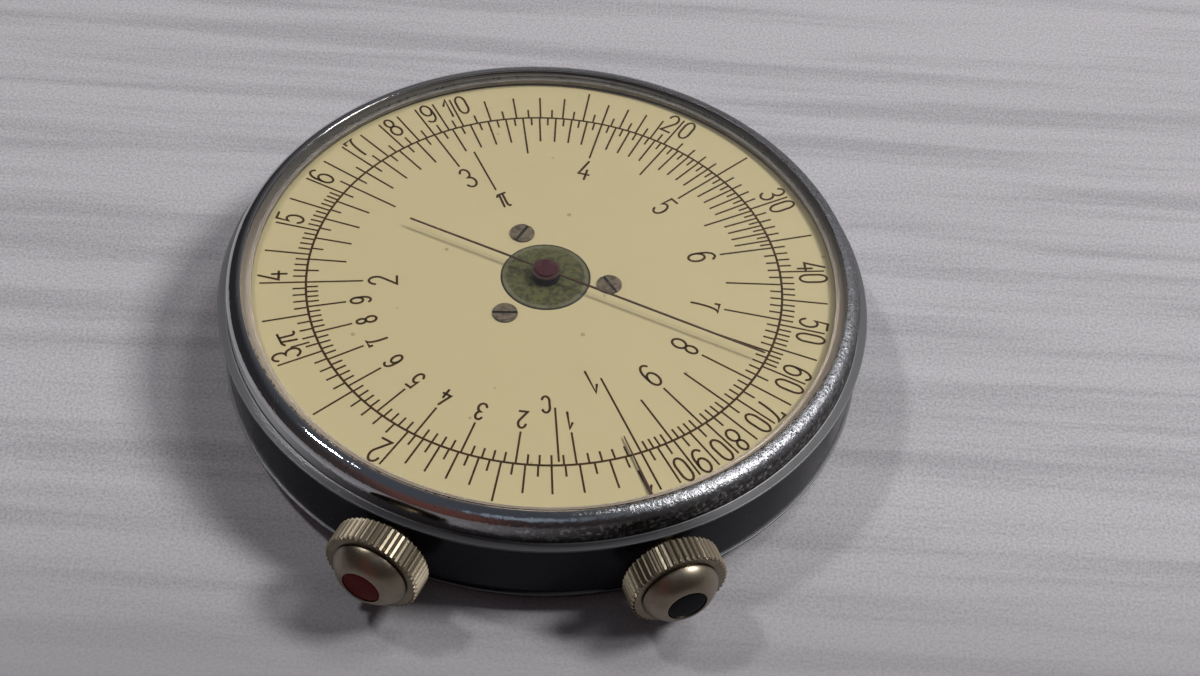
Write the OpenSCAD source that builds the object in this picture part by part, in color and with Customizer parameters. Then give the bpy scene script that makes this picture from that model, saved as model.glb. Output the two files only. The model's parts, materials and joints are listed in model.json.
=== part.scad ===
// Pocket circular slide rule with a turning dial, a turning pointer on each side and two side knobs.
// The origin is on the case's axis, at the plane that the rear bezel rests on. Sizes are millimetres.

/* [Case] */
// Outer radius of the black case wall
case_r = 25.7; // [22:0.1:30]
// Thickness of the case wall
case_wall = 2.1; // [1.8:0.1:3]
// Height of the black wall that shows between the two bezels
wall_h = 5.3; // [5:0.1:7]
// Height of the dark groove between the wall and the front bezel
groove_h = 0.1; // [0.05:0.05:0.2]
// Step from the wall in to the collars that carry the bezels
collar_step = 1.1; // [1.05:0.05:1.2]
// Height of the front collar's ledge above the front bezel's lower edge
ledge_up = 1.2; // [1.1:0.05:1.3]
// Width of the inner flange that the base plate is screwed to
flange_w = 1.6; // [1.4:0.1:2.5]
// Height of the inner flange
flange_h = 0.8; // [0.6:0.1:1]
// Radius of the small round on the wall's upper edge
wall_round = 0.2; // [0.1:0.05:0.4]

/* [Bezels] */
// How far the front bezel's brim stands out from the case wall
bezel_proud = 0.3; // [0.15:0.05:0.4]
// Width of the thin brim round each bezel's roll
brim_w = 0.75; // [0.6:0.05:0.8]
// Thickness of the brims
brim_t = 0.2; // [0.15:0.05:0.3]
// Chamfer at the brims' edges
brim_chamfer = 0.06; // [0.03:0.01:0.07]
// Radius of the bezels' roll
roll_round = 1.4; // [1.3:0.05:1.5]
// Height of the front bezel's crest above the crystal's rim
crest_h = 0.3; // [0.25:0.05:0.4]
// Distance of the crest from the lip's inner edge
crest_in = 0.2; // [0.15:0.05:0.3]
// How far the front lip reaches in over the crystal
lip_over = 0.4; // [0.3:0.05:0.5]
// Thickness of the lip's inner edge
lip_edge = 0.1; // [0.05:0.01:0.15]
// Height of the rear bezel
rear_bezel_h = 2.25; // [2.1:0.05:2.5]
// How far the rear bezel's brim stands out from the case wall
rear_proud = 0.2; // [0.15:0.05:0.3]
// Width of the flat rim that the rule rests on
rim_w = 0.35; // [0.25:0.05:0.4]
// Bevel between the flat rim and the rear opening
rim_bevel = 0.15; // [0.1:0.01:0.2]
// How far the rear lip reaches in under the rear crystal
rear_lip_over = 0.6; // [0.5:0.05:0.7]

/* [Crystals and rings] */
// Thickness of the domed front crystal
glass_t = 0.65; // [0.55:0.05:0.8]
// Thickness of its rim under the bezel's lip
glass_rim_t = 0.5; // [0.45:0.05:0.55]
// Height of the hollow under the dome's edge
glass_step = 0.3; // [0.25:0.05:0.35]
// Rise of the dome's middle above its edge
glass_rise = 0.4; // [0.35:0.05:0.6]
// Width of the bevel round the dome
glass_bevel = 0.45; // [0.3:0.05:0.6]
// Step from the collars in to the crystals' edges
glass_inset = 0.15; // [0.1:0.05:0.2]
// Height of the ring that the front crystal sits on
seat_h = 0.4; // [0.4:0.05:0.6]
// Width of that ring
seat_w = 1.05; // [0.95:0.05:1.1]
// Thickness of the rear crystal
rear_glass_t = 0.6; // [0.4:0.05:0.7]
// Depth of the rear crystal inside the rear rim
rear_recess = 0.4; // [0.35:0.05:0.5]
// Height of the ring between the rear crystal and the rear dial
rear_ring_h = 0.85; // [0.8:0.05:1.1]
// Width of that ring
rear_ring_w = 0.7; // [0.5:0.05:1.2]

/* [Dials] */
// Thickness of the turning front dial
dial_t = 0.5; // [0.3:0.05:0.6]
// Gap between the front dial's edge and the case
dial_gap = 0.2; // [0.15:0.05:0.4]
// Radius of the brass boss that shows in the front dial's hole
boss_r = 3.6; // [3:0.1:4]
// Height of the boss above the dial
boss_proud = 0.05; // [0.02:0.01:0.06]
// Thickness of the fixed rear dial
rear_dial_t = 0.45; // [0.3:0.05:0.6]
// Radius of the circle that the dial screws lie on
screw_circle_r = 5.15; // [4.8:0.05:7]
// Angle of the first front dial screw
dial_screw_angle = 114.6; // [0:0.1:120]
// Number of screws in each dial
dial_screw_n = 3; // [2:1:4]
// Angle of the first rear dial screw
rear_screw_angle = 90; // [0:1:120]

/* [Pointers and index] */
// Angle of the pointers at rest
pointer_angle = -23.3; // [-180:0.1:180]
// Reach of the front pointer's tip
tip_r = 18.9; // [16:0.1:21]
// Reach of the pointers' tails
tail_r = 12.3; // [6:0.1:16]
// Reach of the rear pointer's tip
rear_tip_r = 18.9; // [16:0.1:22]
// Height of the front pointer above the dial
pointer_up = 0.8; // [0.5:0.05:0.85]
// Thickness of the pointers
needle_t = 0.1; // [0.06:0.01:0.12]
// Width of the pointers at the hub
needle_w = 0.17; // [0.14:0.01:0.4]
// Width of the pointers at the tip
needle_tip_w = 0.12; // [0.1:0.01:0.14]
// Radius of the pointers' hubs
hub_r = 1.15; // [1.05:0.05:1.5]
// Radius of the caps that hold the pointers
cap_r = 0.9; // [0.85:0.05:1]
// Height of those caps
cap_t = 0.25; // [0.2:0.01:0.27]
// Thickness of a cap over the arbor's end
cap_roof = 0.12; // [0.08:0.01:0.14]
// Chamfer round a cap's top
cap_chamfer = 0.08; // [0.05:0.01:0.12]
// Thickness of the fixed index needle
index_t = 0.1; // [0.06:0.01:0.15]
// Height of the index needle above the dial
index_gap = 0.15; // [0.1:0.01:0.2]
// Reach of the index needle's inner end from the axis
index_r = 17.3; // [15:0.1:20]
// Width of the index needle
index_w = 0.13; // [0.12:0.01:0.3]
// Width of the index needle's foot
index_foot_w = 1.6; // [1:0.1:3]
// Length of the index needle's foot on the case's ledge
index_foot_l = 0.8; // [0.6:0.1:0.9]
// Width of the index needle's inner end
index_tip_w = 0.08; // [0.06:0.01:0.12]

/* [Knobs] */
// Angle of the knob that turns the dial
dial_knob_angle = -67.5; // [-80:0.5:-55]
// Angle of the knob that turns the pointers
pointer_knob_angle = -112.5; // [-125:0.5:-100]
// Height of the knobs' axis above the middle of the case wall
knob_lift = 0.45; // [0.3:0.05:0.6]
// Radius of the knobs over the knurl
knob_r = 3.75; // [3:0.05:4.5]
// Width of the knurled band
knurl_w = 2; // [1.5:0.1:3]
// Depth of the knurl
knurl_depth = 0.26; // [0.15:0.01:0.35]
// Number of knurl ridges
knurl_n = 48; // [36:1:60]
// Share of the knurl's pitch that a ridge's crest takes
ridge_share = 0.3; // [0.2:0.05:0.4]
// Share of the knurl's pitch that a ridge's flank takes
flank_share = 0.2; // [0.1:0.05:0.25]
// Chamfer at the knurled band's edges
knurl_chamfer = 0.2; // [0.1:0.05:0.3]
// Gap between the case wall and the knurled band
knob_gap = 1.4; // [1.2:0.1:2]
// Radius of the knobs' necks
neck_r = 1.9; // [1.7:0.1:2.4]
// Gap between the case wall and the neck
neck_gap = 0.35; // [0.3:0.05:0.6]
// Width of the groove in front of the knurled band
knob_groove_w = 0.25; // [0.15:0.05:0.4]
// Depth of that groove under the dome's edge
knob_groove_depth = 0.4; // [0.2:0.05:0.6]
// Radius of the domed end where it starts
dome_r = 2.95; // [2.6:0.05:3]
// Length of the domed end
dome_h = 1.2; // [0.8:0.05:1.6]
// Width of the rim round the enamel dot
dot_rim = 0.2; // [0.1:0.02:0.4]
// Radius of the enamel dot
dot_r = 1.5; // [1.2:0.05:1.8]
// Depth of the enamel dot
dot_t = 0.3; // [0.2:0.05:0.5]
// Depth of the stem's seat in the knob
knob_bore = 1.5; // [1:0.1:2]

/* [Stems] */
// Radius of the knob stems
stem_r = 0.8; // [0.7:0.05:0.9]
// Radius of the stem's thin end that carries the pinion
stem_tail_r = 0.55; // [0.4:0.05:0.6]
// Wall of the stem bushes
bush_wall = 0.7; // [0.5:0.05:0.9]
// Width of the stem bush's inner flange
bush_flange = 0.6; // [0.4:0.05:0.8]
// Thickness of that flange
bush_flange_t = 0.4; // [0.3:0.05:0.6]
// How far the stem bush stands out of the case wall
bush_out = 0.2; // [0.1:0.05:0.25]
// Thickness of the clips that hold the stems
clip_t = 0.25; // [0.2:0.05:0.4]
// Width of the clips
clip_w = 0.9; // [0.6:0.1:1.2]
// Depth of the clip's groove in the stem
clip_groove = 0.2; // [0.1:0.05:0.25]

/* [Wheels] */
// Size of a tooth: pitch diameter for each tooth
tooth_module = 0.25; // [0.24:0.005:0.26]
// Teeth on each stem pinion
pinion_teeth = 10; // [10:1:11]
// Teeth on the crown wheel under the dial
dial_wheel_teeth = 80; // [72:1:88]
// Teeth on the crown wheel of the pointers
pointer_wheel_teeth = 48; // [44:1:52]
// Slope of the tooth flanks
pressure_angle = 25; // [24:0.5:26]
// Play between the teeth
backlash = 0.14; // [0.1:0.01:0.16]
// Height of a tooth above its pitch line, in tooth modules
tip_share = 0.9; // [0.8:0.05:0.95]
// Depth of a tooth below its pitch line, in tooth modules
root_share = 1.15; // [1.1:0.05:1.25]
// Width of the pinions' teeth
pinion_face = 0.8; // [0.6:0.05:0.9]
// Width of the crown wheels' teeth
crown_face = 1.3; // [1.1:0.05:1.6]
// Step from a crown wheel's tooth roots to its web
web_step = 0.06; // [0.03:0.01:0.1]
// Radius of the dial wheel's hub
dial_hub_r = 2.6; // [2.4:0.1:3]
// Radius of the pointer wheel's hub
pointer_hub_r = 1.6; // [1.4:0.1:2]
// Radius of the pointer arbor
arbor_r = 0.6; // [0.5:0.05:0.7]

/* [Plate and bridge] */
// Thickness of the base plate
plate_t = 0.8; // [0.7:0.05:0.9]
// How far the base plate's edge reaches out past the case's inner wall
plate_over = 0.3; // [0.2:0.05:0.4]
// Thickness of the bridge
bridge_t = 1; // [0.8:0.1:1.2]
// Width of the bridge
bridge_w = 5.4; // [5:0.1:6]
// Radius of the pillars that carry the bridge
pillar_r = 1.3; // [1.1:0.1:1.6]
// Radius of the pillar's riveted end in the base plate
rivet_r = 0.7; // [0.5:0.05:0.9]
// Radius of the bearing spigot that the dial wheel turns on
spigot_r = 1.6; // [1.4:0.05:1.8]
// Depth of the spigot's end under the dial
spigot_drop = 0.5; // [0.3:0.05:0.7]
// Height of the bearing's collar on the bridge
bearing_collar_h = 0.2; // [0.1:0.05:0.3]
// Gap between the dial wheel's edge and the pillars
pillar_gap = 0.55; // [0.4:0.05:1]
// Wall of the bush that the pointer arbor turns in
arbor_bush_wall = 0.85; // [0.6:0.05:1]

/* [Screws] */
// Radius of the screw heads
head_r = 1; // [0.8:0.05:1.1]
// Height of the dial screw heads
head_h = 0.14; // [0.12:0.01:0.2]
// Radius of the screw shanks
shank_r = 0.45; // [0.35:0.05:0.5]
// Width of the screw slots
slot_w = 0.22; // [0.15:0.01:0.3]
// Depth of the screw slots
slot_d = 0.08; // [0.05:0.01:0.1]
// Angle of each screw's slot to the line from the axis to the screw
slot_angle = -51; // [-90:1:90]
// How far the plate and bridge screws stop short of their holes' ends
shank_short = 0.15; // [0.1:0.05:0.2]
// Radius of the sunk plate screw heads
plate_head_r = 0.75; // [0.65:0.05:0.8]
// Height of the sunk plate screw heads
plate_head_h = 0.35; // [0.25:0.05:0.4]
// Height of the bridge screw heads
bridge_head_h = 0.35; // [0.25:0.05:0.4]
// Number of screws that hold the base plate
plate_screw_n = 3; // [3:1:6]
// Angle of the first base plate screw
plate_screw_angle = 90; // [80:1:100]

/* [Clearances] */
// Gap between pieces that are pressed or screwed together
seat_gap = 0.02; // [0.01:0.005:0.03]
// Running clearance of a shaft in its bearing
run_gap = 0.04; // [0.02:0.01:0.06]
// Axial play between turning pieces
end_gap = 0.06; // [0.04:0.01:0.1]
// Free gap of the pointer arbor in the dial wheel
arbor_gap = 0.12; // [0.08:0.01:0.2]

/* [Hidden] */
$fn = 96;
arc_steps = 16;
// How far a cut runs past the faces that it opens
past = 1;

// Radii of the case stack
inner_r = case_r - case_wall;
collar_r = case_r - collar_step;
bezel_r = case_r + bezel_proud;
glass_r = collar_r - glass_inset;
aperture_r = glass_r - lip_over;
seat_in_r = collar_r - seat_gap - seat_w;
dial_r = inner_r - dial_gap;
plate_r = inner_r + plate_over;
flange_r = inner_r - flange_w;
plate_screw_r = (flange_r + inner_r) / 2;
rear_aperture_r = glass_r - rear_lip_over;

// Heights of the rear stack, from the plane that the rule rests on
rear_glass_z = rear_recess;
rear_ring_z = rear_glass_z + rear_glass_t;
rear_dial_z = rear_ring_z + rear_ring_h;
plate_z = rear_dial_z + rear_dial_t;
plate_top = plate_z + plate_t;

// Heights of the case wall and the front stack
wall_z = rear_bezel_h;
wall_top = wall_z + wall_h;
bezel_z = wall_top + groove_h;
axis_z = (wall_z + wall_top) / 2 + knob_lift;
ledge_z = bezel_z + ledge_up;
index_z = ledge_z - index_t;
dial_top = index_z - index_gap;
dial_z = dial_top - dial_t;
glass_z = ledge_z + seat_h;
glass_rim_z = glass_z + glass_rim_t;
crest_z = glass_rim_z + crest_h;

// Tooth proportions
addendum = tip_share * tooth_module;
dedendum = root_share * tooth_module;
tooth_pitch = PI * tooth_module;
pitch_r = tooth_module * pinion_teeth / 2;
pinion_tooth_w = (tooth_pitch - backlash) / 2;
slot_pitch_w = (tooth_pitch + backlash) / 2;
dial_crown_r = tooth_module * dial_wheel_teeth / 2;
pointer_crown_r = tooth_module * pointer_wheel_teeth / 2;
dial_wheel_r = dial_crown_r + crown_face / 2;

// Heights of the wheels and the bridge
dial_root_z = axis_z + pitch_r + dedendum;
dial_tip_z = axis_z + pitch_r - addendum;
pointer_root_z = axis_z - pitch_r - dedendum;
pointer_tip_z = axis_z - pitch_r + addendum;
bridge_z = axis_z - bridge_t / 2;
bridge_top = bridge_z + bridge_t;
spigot_top = dial_z - spigot_drop;
dial_hub_z = bridge_top + bearing_collar_h + end_gap;
pillar_x = dial_wheel_r + pillar_r + pillar_gap;
arbor_bush_r = arbor_r + run_gap + arbor_bush_wall;

// Heights of the pointer stack at the front and at the rear
boss_top = dial_top + boss_proud;
needle_z = dial_top + pointer_up;
cap_z = needle_z + needle_t;
rear_needle_z = rear_dial_z - head_h - index_gap - needle_t;
arbor_top = cap_z + cap_t - cap_roof;
arbor_low = rear_needle_z - cap_t + cap_roof;

// Places along the stems, measured out from the case's axis
bush_r = stem_r + run_gap + bush_wall;
bush_flange_r = bush_r + bush_flange;
bush_face = sqrt(inner_r * inner_r - bush_flange_r * bush_flange_r);
bush_in = bush_face - bush_flange_t;
clip_out = bush_in - end_gap;
clip_in = clip_out - clip_t;
knob_back = case_r + knob_gap;
knob_neck = case_r + neck_gap;
knob_front = knob_back + knurl_w;
dome_start = knob_front + knob_groove_w;
knob_end = dome_start + dome_h;
stem_end = knob_back + knob_bore;

function arc(cr, cz, a, b, from, to) =
    [for (i = [0 : arc_steps]) let (t = from + (to - from) * i / arc_steps)
        [cr + a * cos(t), cz + b * sin(t)]];

// Points on a shallow dome between two shares of its edge's radius
function dome(r_edge, z_edge, rise, from, to) =
    [for (i = [0 : arc_steps]) let (s = from + (to - from) * i / arc_steps)
        [r_edge * s, z_edge + rise * (1 - s * s)]];

function ring_profile(r_in, r_out, z_low, z_high) =
    [[r_in, z_low], [r_out, z_low], [r_out, z_high], [r_in, z_high]];

// A turned piece from its half section
module turned(points) { rotate_extrude() polygon(points); }

// A plain ring between two radii and two heights
module ring(r_in, r_out, z_low, z_high) { turned(ring_profile(r_in, r_out, z_low, z_high)); }

// Children stand on a stem's axis: z runs out from the case and x points down
module on_stem(angle) { rotate([0, 0, angle]) translate([0, 0, axis_z]) rotate([0, 90, 0]) children(); }

// Children on a circle of screws
module on_circle(n, r, first) {
    for (i = [0 : n - 1]) rotate([0, 0, first + i * 360 / n]) translate([r, 0, 0]) children();
}

// The cutter of a round hole through what lies between two heights
module hole(r, z_low, z_high) {
    translate([0, 0, z_low - past]) cylinder(r = r, h = z_high - z_low + 2 * past);
}

// A slotted cheese-head screw whose head sits on z = 0 and whose shank points down
module slotted_screw(head_height, shank_length) {
    difference() {
        union() {
            cylinder(r = head_r, h = head_height);
            translate([0, 0, -shank_length]) cylinder(r = shank_r, h = shank_length + head_height / 2);
        }
        rotate([0, 0, slot_angle]) translate([-head_r - past, -slot_w / 2, head_height - slot_d])
            cube([2 * (head_r + past), slot_w, slot_d + past]);
    }
}

// The black moulded case: wall, front collar with its ledge, rear collar, the flange for the base plate and
// a spot face inside each stem hole
module case_body() {
    color("#1b1b1e") difference() {
        turned(concat(
            [[collar_r, rear_ring_z], [collar_r, wall_z], [case_r, wall_z]],
            arc(case_r - wall_round, wall_top - wall_round, wall_round, wall_round, 0, 90),
            [[collar_r, wall_top], [collar_r, ledge_z], [inner_r, ledge_z], [inner_r, plate_top + flange_h],
             [flange_r, plate_top + flange_h], [flange_r, plate_top], [plate_r + seat_gap, plate_top],
             [plate_r + seat_gap, rear_ring_z]]));
        for (a = [dial_knob_angle, pointer_knob_angle])
            on_stem(a) {
                hole(bush_r + seat_gap, flange_r, case_r);
                translate([0, 0, flange_r - past])
                    cylinder(r = bush_flange_r + seat_gap, h = bush_face - flange_r + past);
            }
        rotate([0, 0, dial_knob_angle])
            translate([inner_r - past, -index_foot_w / 2 - seat_gap, index_z - seat_gap])
                cube([case_wall + 2 * past, index_foot_w + 2 * seat_gap, past]);
        on_circle(plate_screw_n, plate_screw_r, plate_screw_angle)
            hole(shank_r + seat_gap, plate_top, plate_top + flange_h);
    }
}

// The plated front bezel: a thin brim, a rolled body and the lip that holds the crystal
module front_bezel() {
    skirt_r = collar_r + seat_gap;
    pocket_r = glass_r + seat_gap;
    pocket_z = glass_z + seat_gap;
    lip_z = glass_rim_z + seat_gap;
    brim_z = bezel_z + brim_t;
    roll_r = bezel_r - brim_w;
    crest_r = aperture_r + crest_in;
    roll_in = roll_r - roll_round;
    crest_angle = acos((crest_r - roll_in) / roll_round);
    color("#c8c9c8") turned(concat(
        [[skirt_r, bezel_z], [bezel_r - brim_chamfer, bezel_z], [bezel_r, bezel_z + brim_chamfer],
         [bezel_r, brim_z - brim_chamfer], [bezel_r - brim_chamfer, brim_z], [roll_r, brim_z]],
        arc(roll_in, crest_z - roll_round * sin(crest_angle), roll_round, roll_round, 0, crest_angle),
        arc(crest_r, lip_z + lip_edge, crest_in, crest_z - lip_z - lip_edge, 90, 180),
        [[aperture_r, lip_z], [pocket_r, lip_z], [pocket_r, pocket_z], [skirt_r, pocket_z]]));
}

// The domed front crystal, with a flat rim under the bezel's lip
module front_glass() {
    side_r = aperture_r - seat_gap;
    edge_z = glass_z + glass_step;
    color("#dfe8e6", 0.3) turned(concat(
        dome(seat_in_r - glass_step, edge_z, glass_rise, 0, 1),
        [[seat_in_r, glass_z], [glass_r, glass_z], [glass_r, glass_rim_z], [side_r, glass_rim_z],
         [side_r, crest_z - lip_edge]],
        dome(aperture_r - glass_bevel, edge_z + glass_t, glass_rise, 1, 0)));
}

// The ring that holds the crystal off the dial and clamps the index needle's foot
module glass_seat_ring() {
    color("#8d857a") ring(seat_in_r, collar_r - seat_gap, ledge_z, glass_z);
}

// The fixed index needle, on its foot in the case's ledge
module index_needle() {
    foot_in = inner_r + seat_gap;
    foot_out = foot_in + index_foot_l;
    neck_in = foot_in - index_foot_w / 2;
    color("#2c2620") rotate([0, 0, dial_knob_angle]) translate([0, 0, index_z]) linear_extrude(index_t)
        polygon([[index_r, -index_tip_w / 2], [neck_in, -index_w / 2], [foot_in, -index_foot_w / 2],
                 [foot_out, -index_foot_w / 2], [foot_out, index_foot_w / 2], [foot_in, index_foot_w / 2],
                 [neck_in, index_w / 2], [index_r, index_tip_w / 2]]);
}

// The turning front dial
module front_dial() {
    color("#d9cda4") difference() {
        translate([0, 0, dial_z]) cylinder(r = dial_r, h = dial_t);
        hole(boss_r + seat_gap, dial_z, dial_top);
        on_circle(dial_screw_n, screw_circle_r, dial_screw_angle) hole(shank_r + seat_gap, dial_z, dial_top);
    }
}

// The slots between a crown wheel's teeth; they point up from the pitch plane, or down when up is -1
module crown_slots(teeth, crown_r, up, first) {
    flare = tan(pressure_angle);
    mouth = 2 * addendum;
    half_root = slot_pitch_w / 2 - dedendum * flare;
    half_mouth = slot_pitch_w / 2 + mouth * flare;
    length = 2 * crown_face;
    for (i = [0 : teeth - 1]) rotate([0, 0, first + i * 360 / teeth])
        translate([crown_r - length / 2, 0, 0]) rotate([90, 0, 90]) linear_extrude(length)
            polygon([[-half_root, -up * dedendum], [half_root, -up * dedendum],
                     [half_mouth, up * mouth], [-half_mouth, up * mouth]]);
}

// The crown wheel under the dial, with its hub and the boss that shows in the dial's hole
module dial_wheel() {
    crown_in = dial_crown_r - crown_face / 2;
    web_z = dial_root_z + web_step;
    bore_r = spigot_r + run_gap;
    color("#8c7f45") difference() {
        turned([[0, boss_top], [boss_r - boss_proud, boss_top], [boss_r, dial_top], [boss_r, dial_z],
                [dial_wheel_r, dial_z], [dial_wheel_r, dial_tip_z], [crown_in, dial_tip_z], [crown_in, web_z],
                [dial_hub_r, web_z], [dial_hub_r, dial_hub_z], [0, dial_hub_z]]);
        translate([0, 0, dial_hub_z - past])
            cylinder(r = bore_r, h = spigot_top + end_gap - dial_hub_z + past);
        hole(arbor_r + arbor_gap, dial_hub_z, boss_top);
        translate([0, 0, axis_z + pitch_r]) crown_slots(dial_wheel_teeth, dial_crown_r, -1, dial_knob_angle);
        on_circle(dial_screw_n, screw_circle_r, dial_screw_angle) hole(shank_r + seat_gap, web_z, dial_z);
    }
}

// The slotted screws that hold the dial on its wheel
module dial_screws() {
    color("#6f6a5c") on_circle(dial_screw_n, screw_circle_r, dial_screw_angle)
        translate([0, 0, dial_top]) slotted_screw(head_h, dial_top - dial_root_z - web_step);
}

// The brass base plate in the rear of the case
module base_plate() {
    color("#b39a4d") difference() {
        translate([0, 0, plate_z]) cylinder(r = plate_r, h = plate_t);
        hole(arbor_bush_r + seat_gap, plate_z, plate_top);
        for (x = [-pillar_x, pillar_x]) translate([x, 0, 0]) hole(rivet_r + seat_gap, plate_z, plate_top);
        on_circle(plate_screw_n, plate_screw_r, plate_screw_angle) {
            hole(shank_r + seat_gap, plate_z, plate_top);
            translate([0, 0, plate_z - past])
                cylinder(r = plate_head_r + seat_gap, h = plate_head_h + seat_gap + past);
        }
        on_circle(dial_screw_n, screw_circle_r, rear_screw_angle)
            hole(shank_r + seat_gap, plate_z, plate_top);
    }
}

// The screws that hold the base plate in the case, with their heads sunk in the plate
module plate_screws() {
    color("#77756e") on_circle(plate_screw_n, plate_screw_r, plate_screw_angle) translate([0, 0, plate_z])
        difference() {
            union() {
                cylinder(r = plate_head_r, h = plate_head_h);
                cylinder(r = shank_r, h = plate_t + flange_h - shank_short);
            }
            translate([-head_r, -slot_w / 2, -past]) cube([2 * head_r, slot_w, past + slot_d]);
        }
}

// The two pillars that are riveted in the base plate and carry the bridge
module bridge_pillars() {
    color("#a8904a") for (x = [-pillar_x, pillar_x]) translate([x, 0, 0]) difference() {
        union() {
            translate([0, 0, plate_z]) cylinder(r = rivet_r, h = plate_t);
            translate([0, 0, plate_top]) cylinder(r = pillar_r, h = bridge_z - plate_top);
        }
        translate([0, 0, plate_top]) cylinder(r = shank_r + seat_gap, h = bridge_z - plate_top + past);
    }
}

// The bridge across the case that carries the dial's bearing
module bridge() {
    color("#b39a4d") difference() {
        translate([0, 0, bridge_z]) {
            translate([-pillar_x, -bridge_w / 2, 0]) cube([2 * pillar_x, bridge_w, bridge_t]);
            for (x = [-pillar_x, pillar_x]) translate([x, 0, 0]) cylinder(r = bridge_w / 2, h = bridge_t);
        }
        hole(spigot_r + seat_gap, bridge_z, bridge_top);
        for (x = [-pillar_x, pillar_x]) translate([x, 0, 0]) hole(shank_r + seat_gap, bridge_z, bridge_top);
    }
}

// The screws that hold the bridge on its pillars
module bridge_screws() {
    color("#77756e") for (x = [-pillar_x, pillar_x]) translate([x, 0, bridge_top])
        slotted_screw(bridge_head_h, bridge_top - plate_top - shank_short);
}

// The bearing in the bridge: the dial wheel turns on its spigot and the pointer arbor turns in its bore
module dial_bearing() {
    color("#9c8743") turned([
        [arbor_r + run_gap, bridge_z], [spigot_r, bridge_z], [spigot_r, bridge_top], [dial_hub_r, bridge_top],
        [dial_hub_r, bridge_top + bearing_collar_h], [spigot_r, bridge_top + bearing_collar_h],
        [spigot_r, spigot_top], [arbor_r + run_gap, spigot_top]]);
}

// The flanged bush in the base plate that the pointer arbor turns in
module arbor_bush() {
    color("#9c8743") turned([
        [arbor_r + run_gap, rear_dial_z], [arbor_bush_r + bush_flange, rear_dial_z],
        [arbor_bush_r + bush_flange, plate_z], [arbor_bush_r, plate_z], [arbor_bush_r, plate_top],
        [arbor_r + run_gap, plate_top]]);
}

// The arbor that joins the two pointers and their wheel
module pointer_arbor() {
    color("#8b8b88") translate([0, 0, arbor_low]) cylinder(r = arbor_r, h = arbor_top - arbor_low);
}

// The crown wheel on the pointer arbor
module pointer_wheel() {
    crown_in = pointer_crown_r - crown_face / 2;
    crown_out = pointer_crown_r + crown_face / 2;
    web_top = pointer_root_z - web_step;
    low = plate_top + end_gap;
    color("#a8904a") difference() {
        turned([[arbor_r + seat_gap, low], [crown_out, low], [crown_out, pointer_tip_z],
                [crown_in, pointer_tip_z], [crown_in, web_top], [pointer_hub_r, web_top],
                [pointer_hub_r, bridge_z - end_gap], [arbor_r + seat_gap, bridge_z - end_gap]]);
        translate([0, 0, axis_z - pitch_r])
            crown_slots(pointer_wheel_teeth, pointer_crown_r, 1, pointer_knob_angle);
    }
}

// A pointer cut from thin sheet, with its tip along x
module needle(reach) {
    linear_extrude(needle_t) difference() {
        union() {
            circle(r = hub_r);
            polygon([[-tail_r, -needle_tip_w / 2], [0, -needle_w / 2], [reach - needle_w, -needle_tip_w / 2],
                     [reach, 0], [reach - needle_w, needle_tip_w / 2], [0, needle_w / 2],
                     [-tail_r, needle_tip_w / 2]]);
        }
        circle(r = arbor_r + seat_gap);
    }
}

// A cap over an arbor's end, standing on z = 0
module pointer_cap() {
    bore_r = arbor_r + seat_gap;
    turned([[0, cap_t], [cap_r - cap_chamfer, cap_t], [cap_r, cap_t - cap_chamfer], [cap_r, 0], [bore_r, 0],
            [bore_r, cap_t - cap_roof + seat_gap], [0, cap_t - cap_roof + seat_gap]]);
}

// The front pointer
module front_pointer() {
    color("#2c2420") rotate([0, 0, pointer_angle]) translate([0, 0, needle_z]) needle(tip_r);
}

// The collar that holds the front pointer off the dial's boss
module front_pointer_hub() { color("#5a2a26") ring(arbor_r + seat_gap, hub_r, boss_top + end_gap, needle_z); }

// The red cap on the front pointer
module front_pointer_cap() { color("#5f201f") translate([0, 0, cap_z]) pointer_cap(); }

// The rear pointer
module rear_pointer() {
    color("#2c2420") rotate([0, 0, pointer_angle]) translate([0, 0, rear_needle_z]) needle(rear_tip_r);
}

// The collar that holds the rear pointer off the arbor's bush
module rear_pointer_hub() {
    color("#5a2a26") ring(arbor_r + seat_gap, hub_r, rear_needle_z + needle_t, rear_dial_z - end_gap);
}

// The cap on the rear pointer
module rear_pointer_cap() {
    color("#5f201f") translate([0, 0, rear_needle_z]) rotate([180, 0, 0]) pointer_cap();
}

// The fixed rear dial
module rear_dial() {
    color("#d9cda4") difference() {
        translate([0, 0, rear_dial_z]) cylinder(r = plate_r, h = rear_dial_t);
        hole(arbor_bush_r + bush_flange + seat_gap, rear_dial_z, plate_z);
        on_circle(dial_screw_n, screw_circle_r, rear_screw_angle)
            hole(shank_r + seat_gap, rear_dial_z, plate_z);
    }
}

// The screws that hold the rear dial on the base plate
module rear_dial_screws() {
    color("#6f6a5c") on_circle(dial_screw_n, screw_circle_r, rear_screw_angle)
        translate([0, 0, rear_dial_z]) rotate([180, 0, 0]) slotted_screw(head_h, rear_dial_t + plate_t);
}

// The ring between the rear crystal and the rear dial
module rear_spacer_ring() { color("#8d857a") ring(plate_r - rear_ring_w, plate_r, rear_ring_z, rear_dial_z); }

// The flat rear crystal
module rear_glass() {
    color("#dfe8e6", 0.3) translate([0, 0, rear_glass_z]) cylinder(r = glass_r, h = rear_glass_t);
}

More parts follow.
